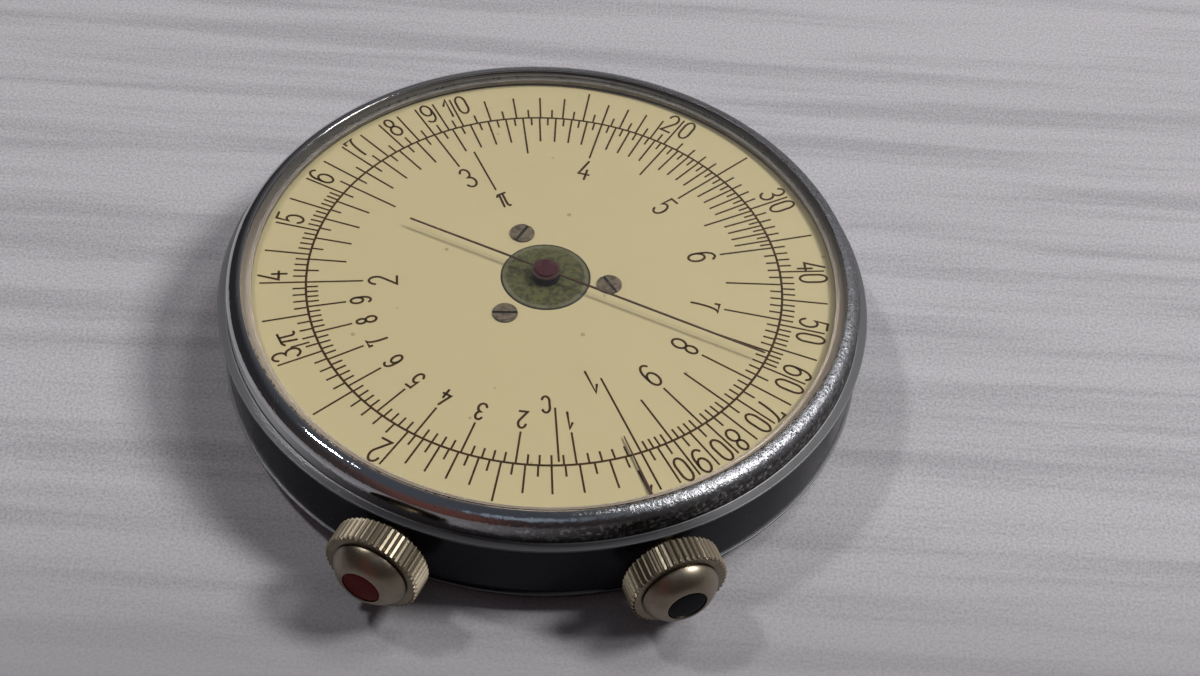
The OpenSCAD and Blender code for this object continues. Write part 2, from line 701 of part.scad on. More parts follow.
// The plated rear bezel: a thin brim under the wall, a rolled body and the flat rim that the rule rests on
module rear_bezel() {
    skirt_r = collar_r + seat_gap;
    pocket_r = glass_r + seat_gap;
    pocket_z = rear_ring_z - seat_gap;
    lip_z = rear_glass_z - seat_gap;
    edge_r = case_r + rear_proud;
    brim_z = wall_z - brim_t;
    rim_in = rear_aperture_r + rim_bevel;
    rim_out = rim_in + rim_w;
    color("#c8c9c8") turned(concat(
        [[rear_aperture_r, lip_z], [rear_aperture_r, rim_bevel], [rim_in, 0]],
        arc(rim_out, roll_round, edge_r - brim_w - rim_out, roll_round, -90, 0),
        [[edge_r - brim_w, brim_z], [edge_r - brim_chamfer, brim_z], [edge_r, brim_z + brim_chamfer],
         [edge_r, wall_z - brim_chamfer], [edge_r - brim_chamfer, wall_z], [skirt_r, wall_z],
         [skirt_r, pocket_z], [pocket_r, pocket_z], [pocket_r, lip_z]]));
}

// The knurled band of a knob
module knurled_band() {
    ridge = 360 / knurl_n;
    foot_r = knob_r - knurl_depth;
    corners = [[0, knob_r], [ridge_share, knob_r],
               [ridge_share + flank_share, foot_r], [1 - flank_share, foot_r]];
    intersection() {
        linear_extrude(knurl_w) polygon([for (i = [0 : knurl_n - 1], k = corners)
            k[1] * [cos((i + k[0]) * ridge), sin((i + k[0]) * ridge)]]);
        turned([[0, 0], [knob_r - knurl_chamfer, 0], [knob_r, knurl_chamfer],
                [knob_r, knurl_w - knurl_chamfer], [knob_r - knurl_chamfer, knurl_w], [0, knurl_w]]);
    }
}

// A knob: neck, knurled band, groove and domed end with the seat of its dot
module knob() {
    groove_r = dome_r - knob_groove_depth;
    end_r = dot_r + dot_rim;
    difference() {
        union() {
            turned(concat(
                [[0, knob_neck], [neck_r, knob_neck], [neck_r, knob_back + knurl_w / 2],
                 [groove_r, knob_back + knurl_w / 2], [groove_r, dome_start]],
                arc(end_r, dome_start, dome_r - end_r, dome_h, 0, 90), [[0, knob_end]]));
            translate([0, 0, knob_back]) knurled_band();
        }
        translate([0, 0, knob_end - dot_t]) cylinder(r = dot_r + seat_gap, h = dot_t + past);
        translate([0, 0, knob_neck - past]) cylinder(r = stem_r + seat_gap, h = stem_end - knob_neck + past);
    }
}

// The enamel dot in a knob's end, a little below the rim
module knob_dot() { translate([0, 0, knob_end - dot_t]) cylinder(r = dot_r, h = dot_t - 2 * seat_gap); }

// A stem from the pinion on the crown wheel at crown_r out to its knob
module stem(crown_r) {
    shoulder = crown_r + crown_face / 2 + end_gap;
    difference() {
        union() {
            translate([0, 0, crown_r - pinion_face / 2])
                cylinder(r = stem_tail_r, h = shoulder - crown_r + pinion_face);
            translate([0, 0, shoulder]) cylinder(r = stem_r, h = stem_end - shoulder);
        }
        ring(stem_r - clip_groove, stem_r + past, clip_in - seat_gap, clip_out + seat_gap);
    }
}

// Half the angle that a pinion tooth takes up at radius r, by the involute of its base circle
function involute(a) = tan(a) * 180 / PI - a;
function tooth_half_angle(r) =
    pinion_tooth_w / 2 / pitch_r * 180 / PI + involute(pressure_angle)
    - involute(acos(pitch_r * cos(pressure_angle) / r));

// A pinion on its stem, with a tooth on the x axis
module pinion(crown_r) {
    base_r = pitch_r * cos(pressure_angle);
    root_r = pitch_r - dedendum;
    outer_r = pitch_r + addendum;
    steps = 4;
    flank = concat([[root_r, tooth_half_angle(base_r)]],
        [for (i = [0 : steps]) let (r = base_r + (outer_r - base_r) * i / steps) [r, tooth_half_angle(r)]]);
    half = len(flank);
    outline = [for (t = [0 : pinion_teeth - 1], i = [0 : 2 * half - 1])
        let (p = i < half ? flank[i] : flank[2 * half - 1 - i], side = i < half ? -1 : 1,
             a = t * 360 / pinion_teeth + side * p[1]) p[0] * [cos(a), sin(a)]];
    translate([0, 0, crown_r - pinion_face / 2]) linear_extrude(pinion_face) difference() {
        polygon(outline);
        circle(r = stem_tail_r + seat_gap);
    }
}

// The bush in the case wall that a stem turns in
module stem_bush() {
    turned([[stem_r + run_gap, bush_in], [bush_flange_r, bush_in], [bush_flange_r, bush_face],
            [bush_r, bush_face], [bush_r, case_r + bush_out], [stem_r + run_gap, case_r + bush_out]]);
}

// The open clip in a stem's groove
module stem_clip() {
    groove_r = stem_r - clip_groove + seat_gap;
    difference() {
        ring(groove_r, groove_r + clip_w, clip_in, clip_out);
        translate([0, -groove_r / 2, clip_in - past])
            cube([groove_r + clip_w + past, groove_r, clip_t + 2 * past]);
    }
}

// The knob with the black dot and its stem, which turn the dial
module dial_knob() { color("#9a917f") on_stem(dial_knob_angle) knob(); }
module dial_knob_dot() { color("#141416") on_stem(dial_knob_angle) knob_dot(); }
module dial_stem() { color("#8b8b88") on_stem(dial_knob_angle) stem(dial_crown_r); }
module dial_pinion() { color("#7d7d7a") on_stem(dial_knob_angle) rotate([0, 0, 180]) pinion(dial_crown_r); }
module dial_stem_bush() { color("#9c8743") on_stem(dial_knob_angle) stem_bush(); }
module dial_stem_clip() { color("#6d6d6b") on_stem(dial_knob_angle) stem_clip(); }

// The knob with the red dot and its stem, which turn the pointers
module pointer_knob() { color("#9a917f") on_stem(pointer_knob_angle) knob(); }
module pointer_knob_dot() { color("#5a1a1c") on_stem(pointer_knob_angle) knob_dot(); }
module pointer_stem() { color("#8b8b88") on_stem(pointer_knob_angle) stem(pointer_crown_r); }
module pointer_pinion() { color("#7d7d7a") on_stem(pointer_knob_angle) pinion(pointer_crown_r); }
module pointer_stem_bush() { color("#9c8743") on_stem(pointer_knob_angle) stem_bush(); }
module pointer_stem_clip() { color("#6d6d6b") on_stem(pointer_knob_angle) stem_clip(); }

case_body();
front_bezel();
front_glass();
glass_seat_ring();
index_needle();
front_dial();
dial_wheel();
dial_screws();
base_plate();
plate_screws();
bridge_pillars();
bridge();
bridge_screws();
dial_bearing();
arbor_bush();
pointer_arbor();
pointer_wheel();
front_pointer();
front_pointer_hub();
front_pointer_cap();
rear_pointer();
rear_pointer_hub();
rear_pointer_cap();
rear_dial();
rear_dial_screws();
rear_spacer_ring();
rear_glass();
rear_bezel();
dial_knob();
dial_knob_dot();
dial_stem();
dial_pinion();
dial_stem_bush();
dial_stem_clip();
pointer_knob();
pointer_knob_dot();
pointer_stem();
pointer_pinion();
pointer_stem_bush();
pointer_stem_clip();
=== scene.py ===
"""Dress a pocket circular slide rule: case, dials with printed scales, pointers, knurled knobs and stage."""

import json
import math

import bmesh
import bpy
from bpy.props import FloatProperty, FloatVectorProperty, IntProperty, PointerProperty
from mathutils import Matrix, Vector


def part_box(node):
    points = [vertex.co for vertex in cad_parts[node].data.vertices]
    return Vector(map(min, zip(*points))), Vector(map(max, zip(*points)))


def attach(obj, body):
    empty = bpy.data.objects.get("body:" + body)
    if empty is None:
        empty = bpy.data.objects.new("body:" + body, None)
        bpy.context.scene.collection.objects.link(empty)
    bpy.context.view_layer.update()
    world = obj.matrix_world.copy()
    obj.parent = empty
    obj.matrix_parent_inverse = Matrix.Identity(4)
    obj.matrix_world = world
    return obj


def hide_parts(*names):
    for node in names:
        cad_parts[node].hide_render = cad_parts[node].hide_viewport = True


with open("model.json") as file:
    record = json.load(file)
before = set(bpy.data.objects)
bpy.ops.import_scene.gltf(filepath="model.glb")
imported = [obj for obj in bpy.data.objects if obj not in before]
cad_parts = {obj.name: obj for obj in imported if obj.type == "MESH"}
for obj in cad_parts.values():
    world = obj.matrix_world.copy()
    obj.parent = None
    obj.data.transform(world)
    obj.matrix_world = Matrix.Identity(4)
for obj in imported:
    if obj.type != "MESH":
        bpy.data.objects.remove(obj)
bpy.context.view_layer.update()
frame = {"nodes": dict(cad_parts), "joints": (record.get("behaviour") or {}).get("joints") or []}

bl_info = {
    "name": "Circular Slide Rule",
    "version": (1, 0, 0),
    "blender": (4, 5, 0),
    "location": "View3D > Sidebar > Slide Rule",
    "description": "Builds the finished pieces of a pocket circular slide rule around its frame",
    "category": "Object",
}

MM = 0.001
TURN_STEPS = 288
SMALL_TURN_STEPS = 96
ARC_STEPS = 14
EASE_STEPS = 4
EASE_SHARE = 0.45
SHARP_ANGLE = math.radians(34)
CRYSTAL_SHARP_ANGLE = math.radians(12)
WELD = 1e-7
TINY = 1e-9
FLAT = 0.01 * MM


def length(name, millimetres, description):
    """A size that the user can set."""
    return FloatProperty(name=name, description=description, default=millimetres * MM, precision=5,
                         unit="LENGTH")


def angle(name, degrees, description):
    """An angle that the user can set."""
    return FloatProperty(name=name, description=description, default=math.radians(degrees), subtype="ANGLE")


def colour(name, rgb, description):
    """A colour that the user can set."""
    return FloatVectorProperty(name=name, description=description, default=rgb, min=0.0, max=1.0,
                               subtype="COLOR")


def amount(name, value, description):
    """A plain number that the user can set."""
    return FloatProperty(name=name, description=description, default=value, min=0.0)


class CaseSettings(bpy.types.PropertyGroup):
    """Sizes and colours of the case, the bezels, the crystals and the rings."""
    black: colour("Moulding", (0.016, 0.015, 0.019), "Black of the moulded case")
    plating: colour("Plating", (0.6, 0.6, 0.61), "Colour of the plated bezels")
    handled: colour("Handled plating", (0.32, 0.325, 0.345), "Plating dulled by handling on the right")
    tarnish: colour("Tarnish", (0.05, 0.042, 0.036), "Colour of the pits and stains in the plating")
    brim_grey: colour("Brim", (0.29, 0.29, 0.295), "Satin grey of the bezels' brims")
    # Painted dark reflection on the brims' near side, and handling dirt on the right
    brim_reflection_and_dirt: colour("Brim dirt", (0.09, 0.09, 0.095), "Dirty brims between the knobs")
    # The rings' own dull brown, made dark enough to stand also for painted shade on their walls
    ring: colour("Ring", (0.17, 0.15, 0.135), "Colour of the rings that hold the crystals")
    # Painted light: the front ring's top is lighter on the near side, as if lit through the crystal
    ring_lit_top: colour("Ring top", (0.5, 0.41, 0.335), "Worn top of the ring under the front crystal")
    ring_overhang: length("Ring overhang", 0.3, "How far the front ring stands over the dial's edge")
    gap: length("Seat gap", 0.02, "Gap round the crystals")
    brim: length("Brim", 0.2, "Height of the bezels' thin brims")
    brim_width: length("Brim width", 0.75, "Width of the brims outside the rolled bodies")
    brim_ease: length("Brim ease", 0.05, "Rounding of the brims' edges")
    fillet: length("Fillet", 0.12, "Hollow between a brim and its rolled body")
    roll: length("Roll", 1.4, "Height of the rear bezel's rounding")
    crest_in: length("Crest", 0.08, "Distance of the front bezel's crest from its lip")
    crest_drop: length("Crest drop", 1.05, "Height of the front bezel's rounding")
    crest_ease: length("Crest ease", 0.04, "Rounding between the crest and the lip")
    lip_edge: length("Lip edge", 0.1, "Thickness of the front bezel's lip")
    rim: length("Rear rim", 0.35, "Width of the flat rim that the rule rests on")
    rim_bevel: length("Rear bevel", 0.15, "Bevel between the rear rim and the opening")
    crystal_rim: length("Crystal rim", 0.5, "Thickness of the front crystal's rim")
    crystal_step: length("Crystal step", 0.3, "Height of the front crystal's hollow at its edge")
    crystal_wall: length("Crystal wall", 0.54, "Thickness of the front crystal at its edge")
    crystal_rise: length("Crystal rise", 0.4, "Rise of the hollow under the front crystal")
    crystal_bevel: length("Crystal bevel", 0.1, "Width of the bevel round the front crystal's dome")
    ease: length("Ease", 0.06, "Rounding of the small edges")


class DialSettings(bpy.types.PropertyGroup):
    """Sizes and colours of the dials, their print and their screws."""
    cream: colour("Paint", (0.685, 0.57, 0.33), "Cream of the dials")
    stain: colour("Stain", (0.34, 0.27, 0.14), "Colour of the dials' stains and scratches")
    ink: colour("Ink", (0.04, 0.017, 0.004), "Dark brown of the print")
    boss_green: colour("Boss", (0.105, 0.104, 0.036), "Olive oxide on the boss")
    boss_brown: colour("Boss stain", (0.045, 0.04, 0.018), "Dark stains on the boss")
    # Lighter bevel of the boss: wear and a painted highlight
    boss_edge_highlight: colour("Boss edge", (0.2, 0.185, 0.13), "Worn bevel of the boss")
    screw: colour("Screw", (0.2, 0.155, 0.11), "Dull steel of the dial screws")
    screw_stain: colour("Screw stain", (0.075, 0.055, 0.04), "Dark stains on the dial screws")
    # Dark colour for dirt and painted shade in the screw slots, under the screw heads and at the boss's edge
    dirt_and_shade: colour("Dirt", (0.012, 0.009, 0.006), "Dirt in the slots and round the boss")
    circle: length("Circle", 19.0, "Radius of the printed circle")
    circle_line: length("Circle line", 0.19, "Width of the printed circle's line")
    tick_line: length("Tick line", 0.16, "Width of the ticks")
    pen: length("Pen", 0.2, "Width of the numerals' strokes")
    ink_depth: length("Ink depth", 0.012, "Thickness of the print")
    zero: angle("Zero", -65.3, "Angle of the tick for one")
    tall: length("Large numerals", 2.22, "Height of the large numerals")
    small: length("Small numerals", 1.58, "Height of the small numerals")
    narrow: amount("Narrowness", 0.4, "Width of a numeral as a share of its height")
    # Width of the lighter bevel ring, which is wear and a painted highlight
    boss_bevel: length("Boss bevel", 0.36, "Width of the worn ring round the boss")
    # Width of the dark line of dirt and painted shade at the boss's edge
    boss_line: length("Boss line", 0.09, "Width of the dirt at the boss's edge")
    slot_width: length("Slot", 0.24, "Width of the screw slots")
    slot_depth: length("Slot depth", 0.08, "Depth of the screw slots")
    slot_turn: angle("Slot turn", -51.0, "Angle of a slot to the line from the axis")
    screw_head: length("Screw head", 1.0, "Radius of the dial screws' heads")
    screw_shank: length("Screw shank", 0.45, "Radius of the dial screws' shanks")
    screw_ease: length("Screw ease", 0.035, "Rounding of the screw heads")


class PointerSettings(bpy.types.PropertyGroup):
    """Colours of the pointers and the works."""
    needle: colour("Needle", (0.075, 0.036, 0.026), "Dark paint of the pointers")
    red: colour("Cap", (0.05, 0.006, 0.012), "Worn red paint of the caps")
    # Painted shade on the collars' sides under the caps
    collar_shade: colour("Collar", (0.008, 0.008, 0.011), "Dirty sides of the collars under the caps")
    bare: colour("Bare metal", (0.2, 0.17, 0.13), "Metal under the worn paint")
    steel: colour("Steel", (0.42, 0.42, 0.41), "Turned steel of stems and arbor")
    brass: colour("Brass", (0.48, 0.36, 0.13), "Brass of the hidden works")
    index_tip: length("Index tip", 0.08, "Width of the fixed index at its inner end")
    index_foot: length("Index foot", 0.2, "Width of the fixed index at its foot")
    cap_crown: length("Cap crown", 0.05, "Rise of the caps' middle")
    cap_ease: length("Cap ease", 0.06, "Rounding of the caps' edges")


class KnobSettings(bpy.types.PropertyGroup):
    """Sizes and colours of the two knobs."""
    nickel: colour("Nickel", (0.3, 0.255, 0.19), "Warm grey of the knobs")
    # Dark colour of grime in pits, and of grime and painted shade between the ridges and in the groove
    grime_and_shade: colour("Grime", (0.09, 0.07, 0.045), "Dirt between the ridges")
    red: colour("Red dot", (0.125, 0.004, 0.006), "Enamel of the pointer knob's dot")
    black: colour("Black dot", (0.002, 0.002, 0.0035), "Enamel of the dial knob's dot")
    ridges: IntProperty(name="Ridges", description="Number of knurl ridges", default=48, min=12)
    depth: length("Knurl depth", 0.26, "Depth of the knurl")
    neck: length("Neck", 1.9, "Radius of the neck")
    neck_length: length("Neck length", 1.05, "Length of the neck behind the knurl")
    knurl: length("Knurl", 2.0, "Width of the knurled band")
    knurl_ease: length("Knurl ease", 0.18, "Rounding of the band's edges")
    groove: length("Groove", 0.12, "Width of the groove in front of the band")
    groove_radius: length("Groove radius", 2.78, "Radius at the groove's bottom")
    dome: length("Dome", 2.95, "Radius where the domed end starts")
    end: length("End", 1.62, "Radius of the domed end's rim")
    taper: amount("Taper", 1.4, "Shape of the domed end, from 1 for a round one to 2 for a cone")
    seat: length("Dot seat", 1.52, "Radius of the dot's recess")
    seat_depth: length("Seat depth", 0.3, "Depth of the dot's recess")
    bore: length("Bore", 0.82, "Radius of the stem's seat")
    bore_depth: length("Bore depth", 2.55, "Depth of the stem's seat from the neck's end")
    dot_crown: length("Dot crown", 0.06, "Rise of the enamel's middle")


class StageSettings(bpy.types.PropertyGroup):
    """Floor, light and camera."""
    floor: colour("Floor", (0.575, 0.553, 0.578), "Pale grey of the table top")
    grain: colour("Grain", (0.315, 0.3, 0.318), "Darker streaks of the table top")
    near: colour("Near side", (0.055, 0.043, 0.043), "Dark side of the room behind the camera")
    warm: colour("Warm side", (0.15, 0.065, 0.055), "Reddish side of the room behind the camera on the left")
    left: colour("Left side", (0.03, 0.03, 0.033), "Dark side of the room to the left")
    far: colour("Far side", (0.3, 0.3, 0.31), "Light side of the room across the table")
    above: colour("Above", (0.08, 0.088, 0.105), "Light from above")
    window: colour("Window", (0.34, 0.4, 0.48), "Bluish patch of light above the camera")
    room: amount("Room light", 0.9, "Strength of the room's light")
    key: amount("Key light", 4.75, "Power of the lamp on the right in watts")
    key_azimuth: angle("Key azimuth", 4.0, "Direction of the lamp on the right, from +X towards +Y")
    key_elevation: angle("Key elevation", 50.0, "Height of the lamp on the right")
    back_lamp: amount("Back light", 1.25, "Power of the lamp across the table in watts")
    back_azimuth: angle("Back azimuth", 40.0, "Direction of the lamp across the table")
    back_elevation: angle("Back elevation", 62.0, "Height of the lamp across the table")
    fill: amount("Fill light", 1.65, "Power of the lamp on the left in watts")
    fill_azimuth: angle("Fill azimuth", 158.0, "Direction of the lamp on the left")
    fill_elevation: angle("Fill elevation", 60.0, "Height of the lamp on the left")
    lamp_size: length("Lamp size", 190.0, "Width of the lamps on the right and across the table")
    fill_size: length("Fill size", 75.0, "Width of the lamp on the left")
    lamp_distance: length("Lamp distance", 900.0, "Distance of the lamps from the rule")
    focal: amount("Focal length", 55.39, "Focal length in millimetres on a 36 mm wide sensor")
    elevation: angle("Elevation", 48.245, "Elevation of the camera")
    azimuth: angle("Azimuth", -1.7, "Turn of the camera about the rule")
    roll: angle("Roll", 4.609, "Roll of the camera")
    aside: length("Aside", 4.736, "Camera's place to the right of the rule's axis")
    back: length("Back", 101.909, "Camera's place in front of the rule's axis")
    up: length("Up", 116.23, "Camera's height above the floor")


class SlideRuleSettings(bpy.types.PropertyGroup):
    """All settings of the slide rule."""
    case: PointerProperty(type=CaseSettings)
    dial: PointerProperty(type=DialSettings)
    pointer: PointerProperty(type=PointerSettings)
    knob: PointerProperty(type=KnobSettings)
    stage: PointerProperty(type=StageSettings)


def settings():
    """The settings of this scene's slide rule."""
    return bpy.context.scene.slide_rule


# Places that come from the frame

def low(node):
    """Height of a node's underside."""
    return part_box(node)[0].z


def high(node):
    """Height of a node's top."""
    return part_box(node)[1].z


def reach(node):
    """Smallest and largest distance of a node's points from the case's axis."""
    distances = [math.hypot(v.co.x, v.co.y) for v in frame["nodes"][node].data.vertices]
    return min(distances), max(distances)


def inner_at(node, height):
    """Smallest distance from the case's axis of a node's points at a height."""
    points = [v.co for v in frame["nodes"][node].data.vertices]
    return min(math.hypot(p.x, p.y) for p in points if abs(p.z - height) < WELD)


def stem_frame(joint_name):
    """Matrix of a knob's own frame: z runs out along its stem and x points down."""
    joint = next(j for j in frame["joints"] if j["name"] == joint_name)
    turn = math.atan2(joint["axis"][1], joint["axis"][0])
    lift = Matrix.Translation((0.0, 0.0, joint["pos_m"][2]))
    return lift @ Matrix.Rotation(turn, 4, "Z") @ Matrix.Rotation(math.pi / 2, 4, "Y")


def along_stem(node, joint_name):
    """Where a node starts and ends along its stem, and its radius there."""
    back = stem_frame(joint_name).inverted()
    points = [back @ v.co for v in frame["nodes"][node].data.vertices]
    return min(p.z for p in points), max(p.z for p in points), max(math.hypot(p.x, p.y) for p in points)


# Outlines and meshes

def arc(centre, radii, start, end, steps=ARC_STEPS):
    """Points on an elliptical arc between two angles in degrees."""
    turns = [math.radians(start + (end - start) * i / steps) for i in range(steps + 1)]
    return [(centre[0] + radii[0] * math.cos(t), centre[1] + radii[1] * math.sin(t)) for t in turns]


def rounding(centre, radius, start, end):
    """Points on a small round edge between two angles in degrees."""
    return arc(centre, (radius, radius), start, end, EASE_STEPS)


def eased(corners, radius):
    """A closed section whose corners off the axis are rounded."""
    points = []
    for i, corner in enumerate(corners):
        here, before, after = Vector(corner), Vector(corners[i - 1]), Vector(corners[(i + 1) % len(corners)])
        if here.x < TINY:
            points.append(corner)
            continue
        first, last = (here + (end - here).normalized() * min(radius, (end - here).length * EASE_SHARE)
                       for end in (before, after))
        for step in range(EASE_STEPS + 1):
            t = step / EASE_STEPS
            points.append(tuple(first.lerp(here, t).lerp(here.lerp(last, t), t)))
    return points


def ring_of(bm, radius, height, segments):
    """The points of one turned circle, or one point on the axis."""
    if radius < TINY:
        return [bm.verts.new((0.0, 0.0, height))]
    turns = [2 * math.pi * i / segments for i in range(segments)]
    return [bm.verts.new((radius * math.cos(t), radius * math.sin(t), height)) for t in turns]


def join_rings(bm, one, two):
    """Faces between two neighbouring circles of a turned mesh."""
    count = max(len(one), len(two))
    if count == 1:
        return
    for i in range(count):
        corners = [one[i % len(one)], one[(i + 1) % count % len(one)], two[(i + 1) % count % len(two)],
                   two[i % len(two)]]
        bm.faces.new(list(dict.fromkeys(corners)))


def turned(section, segments=TURN_STEPS):
    """A closed turned solid from the (radius, height) points of its half section."""
    bm = bmesh.new()
    rings = [ring_of(bm, r, z, segments) for r, z in section]
    for one, two in zip(rings, rings[1:] + rings[:1]):
        join_rings(bm, one, two)
    bmesh.ops.recalc_face_normals(bm, faces=bm.faces)
    return bm


def mesh_of(name, bm):
    """Turn a bmesh into mesh data."""
    mesh = bpy.data.meshes.new(name)
    bm.to_mesh(mesh)
    bm.free()
    return mesh


def piece(name, mesh, finish, sharp=SHARP_ANGLE):
    """Link a mesh as a piece with its finish, smooth apart from its sharp edges."""
    mesh.materials.clear()
    mesh.materials.append(finish)
    mesh.shade_smooth()
    mesh.set_sharp_from_angle(angle=sharp)
    obj = bpy.data.objects.new(name, mesh)
    bpy.context.scene.collection.objects.link(obj)
    return obj


def turned_piece(name, section, finish, segments=TURN_STEPS):
    """A turned piece with its finish."""
    return piece(name, mesh_of(name, turned(section, segments)), finish)


def welded_piece(name, node, finish):
    """A copy of a node with its triangles joined, so that its round walls shade smoothly."""
    bm = bmesh.new()
    bm.from_mesh(frame["nodes"][node].data)
    bmesh.ops.remove_doubles(bm, verts=bm.verts, dist=WELD)
    mesh = mesh_of(name, bm)
    stale = mesh.attributes.get("custom_normal")
    if stale:
        mesh.attributes.remove(stale)
    return piece(name, mesh, finish)


def seat(obj, body, slot, *nodes):
    """Let a finished piece ride on its body and stand for its nodes. The slot is not used."""
    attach(obj, body)
    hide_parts(*nodes)


def dress(finish, *nodes):
    """Give nodes that keep their own shape their finish."""
    for node in nodes:
        slots = frame["nodes"][node].data.materials
        slots.clear()
        slots.append(finish)


# Node trees

class Tree:
    """Adds nodes to one node tree and joins them."""

    def __init__(self, tree):
        self.tree = tree

    def feed(self, socket, value):
        """Join a socket to another one, or set its value."""
        if isinstance(value, bpy.types.NodeSocket):
            self.tree.links.new(value, socket)
        elif socket.type == "RGBA":
            socket.default_value = (*value, 1.0)
        else:
            socket.default_value = value

    def add(self, kind, inputs=None, **values):
        """Add a node with its settings, and feed its inputs by name or number."""
        node = self.tree.nodes.new(kind)
        for name, value in values.items():
            setattr(node, name, value)
        for name, value in (inputs or {}).items():
            self.feed(node.inputs[name], value)
        return node

    def math(self, operation, *values):
        """One step of arithmetic."""
        return self.add("ShaderNodeMath", dict(enumerate(values)), operation=operation).outputs[0]

    def times(self, one, two):
        """The product of two values."""
        return self.math("MULTIPLY", one, two)

    def most(self, one, two):
        """The larger of two values."""
        return self.math("MAXIMUM", one, two)

    def remap(self, value, start, end, low=0.0, high=1.0):
        """Ease a value from one range into another."""
        inputs = {"Value": value, "From Min": start, "From Max": end, "To Min": low, "To Max": high}
        return self.add("ShaderNodeMapRange", inputs, interpolation_type="SMOOTHSTEP").outputs["Result"]

    def mix(self, factor, one, two):
        """A colour between two colours."""
        return self.add("ShaderNodeMix", {0: factor, 6: one, 7: two}, data_type="RGBA").outputs[2]

    def xyz(self, x=0.0, y=0.0, z=0.0):
        """A vector from three values."""
        return self.add("ShaderNodeCombineXYZ", {0: x, 1: y, 2: z}).outputs[0]

    def split(self, vector):
        """The three values of a vector."""
        return self.add("ShaderNodeSeparateXYZ", {0: vector}).outputs

    def place(self):
        """The point's place in the rule's frame."""
        return self.add("ShaderNodeTexCoord").outputs["Object"]

    def drawn_out(self, degrees, stretch):
        """The point's place, turned about the axis and stretched."""
        inputs = {"Vector": self.place(), "Rotation": (0.0, 0.0, math.radians(degrees)), "Scale": stretch}
        return self.add("ShaderNodeMapping", inputs).outputs[0]

    def noise(self, scale, detail=4.0, roughness=0.55, vector=None):
        """A cloudy value from 0 to 1."""
        inputs = {"Vector": vector or self.place(), "Scale": scale, "Detail": detail, "Roughness": roughness}
        return self.add("ShaderNodeTexNoise", inputs).outputs[0]


def grouped(name, kind, inputs, outputs):
    """Start a node group with its named sockets; inputs map names to socket types or plain defaults."""
    tree = Tree(bpy.data.node_groups.new(name, kind))
    for label, default in inputs.items():
        plain = not isinstance(default, str)
        socket_type = "NodeSocketFloat" if plain else default
        made = tree.tree.interface.new_socket(label, in_out="INPUT", socket_type=socket_type)
        if plain:
            made.default_value = default
    for label, socket_type in outputs.items():
        tree.tree.interface.new_socket(label, in_out="OUTPUT", socket_type=socket_type)
    tree.given = tree.add("NodeGroupInput").outputs
    tree.result = tree.add("NodeGroupOutput").inputs
    return tree


def made_once(build):
    """Let a builder of a group or a material run only on its first call."""
    kept = []

    def once():
        if not kept:
            kept.append(build())
        return kept[0]
    return once


# Shared effects of the finishes

HAIRLINE_WAYS = ((24.0, 0.012), (71.0, 0.018), (128.0, 0.01), (163.0, 0.02))
HAIRLINE_BREAKS = 0.25
SPECK_CORE = 0.5
SPECK_LEAST = 0.02
PATINA_FINENESS = 5.0
PATINA_WIDE, PATINA_FINE = 0.65, 0.35


def mask_group(name, inputs):
    """Start a shader group with plain inputs and one mask as its output."""
    return grouped(name, "ShaderNodeTree", inputs, {"Mask": "NodeSocketFloat"})


@made_once
def hairlines():
    """Fine straight scratches in several directions, broken into short pieces."""
    tree = mask_group("hairlines", {"Scale": 900.0, "Thinness": 0.03, "Share": 0.5})
    scale = tree.given["Scale"]
    lines = None
    for degrees, stretch in HAIRLINE_WAYS:
        streak = tree.noise(scale, 1.0, 0.4, tree.drawn_out(degrees, (1.0, stretch, 1.0)))
        off = tree.math("ABSOLUTE", tree.math("SUBTRACT", streak, 0.5))
        line = tree.remap(off, tree.given["Thinness"], 0.0)
        lines = line if lines is None else tree.most(lines, line)
    breaks = tree.noise(tree.times(scale, HAIRLINE_BREAKS), detail=2.0)
    broken = tree.remap(breaks, tree.math("SUBTRACT", 1.0, tree.given["Share"]), 1.0)
    tree.feed(tree.result["Mask"], tree.times(lines, broken))
    return tree.tree


@made_once
def specks():
    """Round specks of uneven size: dust, spots or pits."""
    tree = mask_group("specks", {"Scale": 900.0, "Size": 0.3, "Share": 0.3})
    cells = tree.add("ShaderNodeTexVoronoi", {"Vector": tree.place(), "Scale": tree.given["Scale"]}).outputs
    draw = tree.add("ShaderNodeSeparateColor", {0: cells["Color"]}).outputs[0]
    chosen = tree.remap(draw, tree.math("SUBTRACT", 1.0, tree.given["Share"]), 1.0)
    edge = tree.times(tree.given["Size"], chosen)
    mask = tree.remap(cells["Distance"], edge, tree.times(edge, SPECK_CORE))
    tree.feed(tree.result["Mask"], tree.times(mask, tree.math("GREATER_THAN", chosen, SPECK_LEAST)))
    return tree.tree


@made_once
def patina():
    """Cloudy patches with broken edges."""
    tree = mask_group("patina", {"Scale": 300.0, "Low": 0.45, "High": 0.65})
    scale = tree.given["Scale"]
    wide = tree.noise(scale, detail=3.0, roughness=0.5)
    fine = tree.noise(tree.times(scale, PATINA_FINENESS), detail=5.0, roughness=0.65)
    cloud = tree.math("ADD", tree.times(wide, PATINA_WIDE), tree.times(fine, PATINA_FINE))
    tree.feed(tree.result["Mask"], tree.remap(cloud, tree.given["Low"], tree.given["High"]))
    return tree.tree


# Finishes

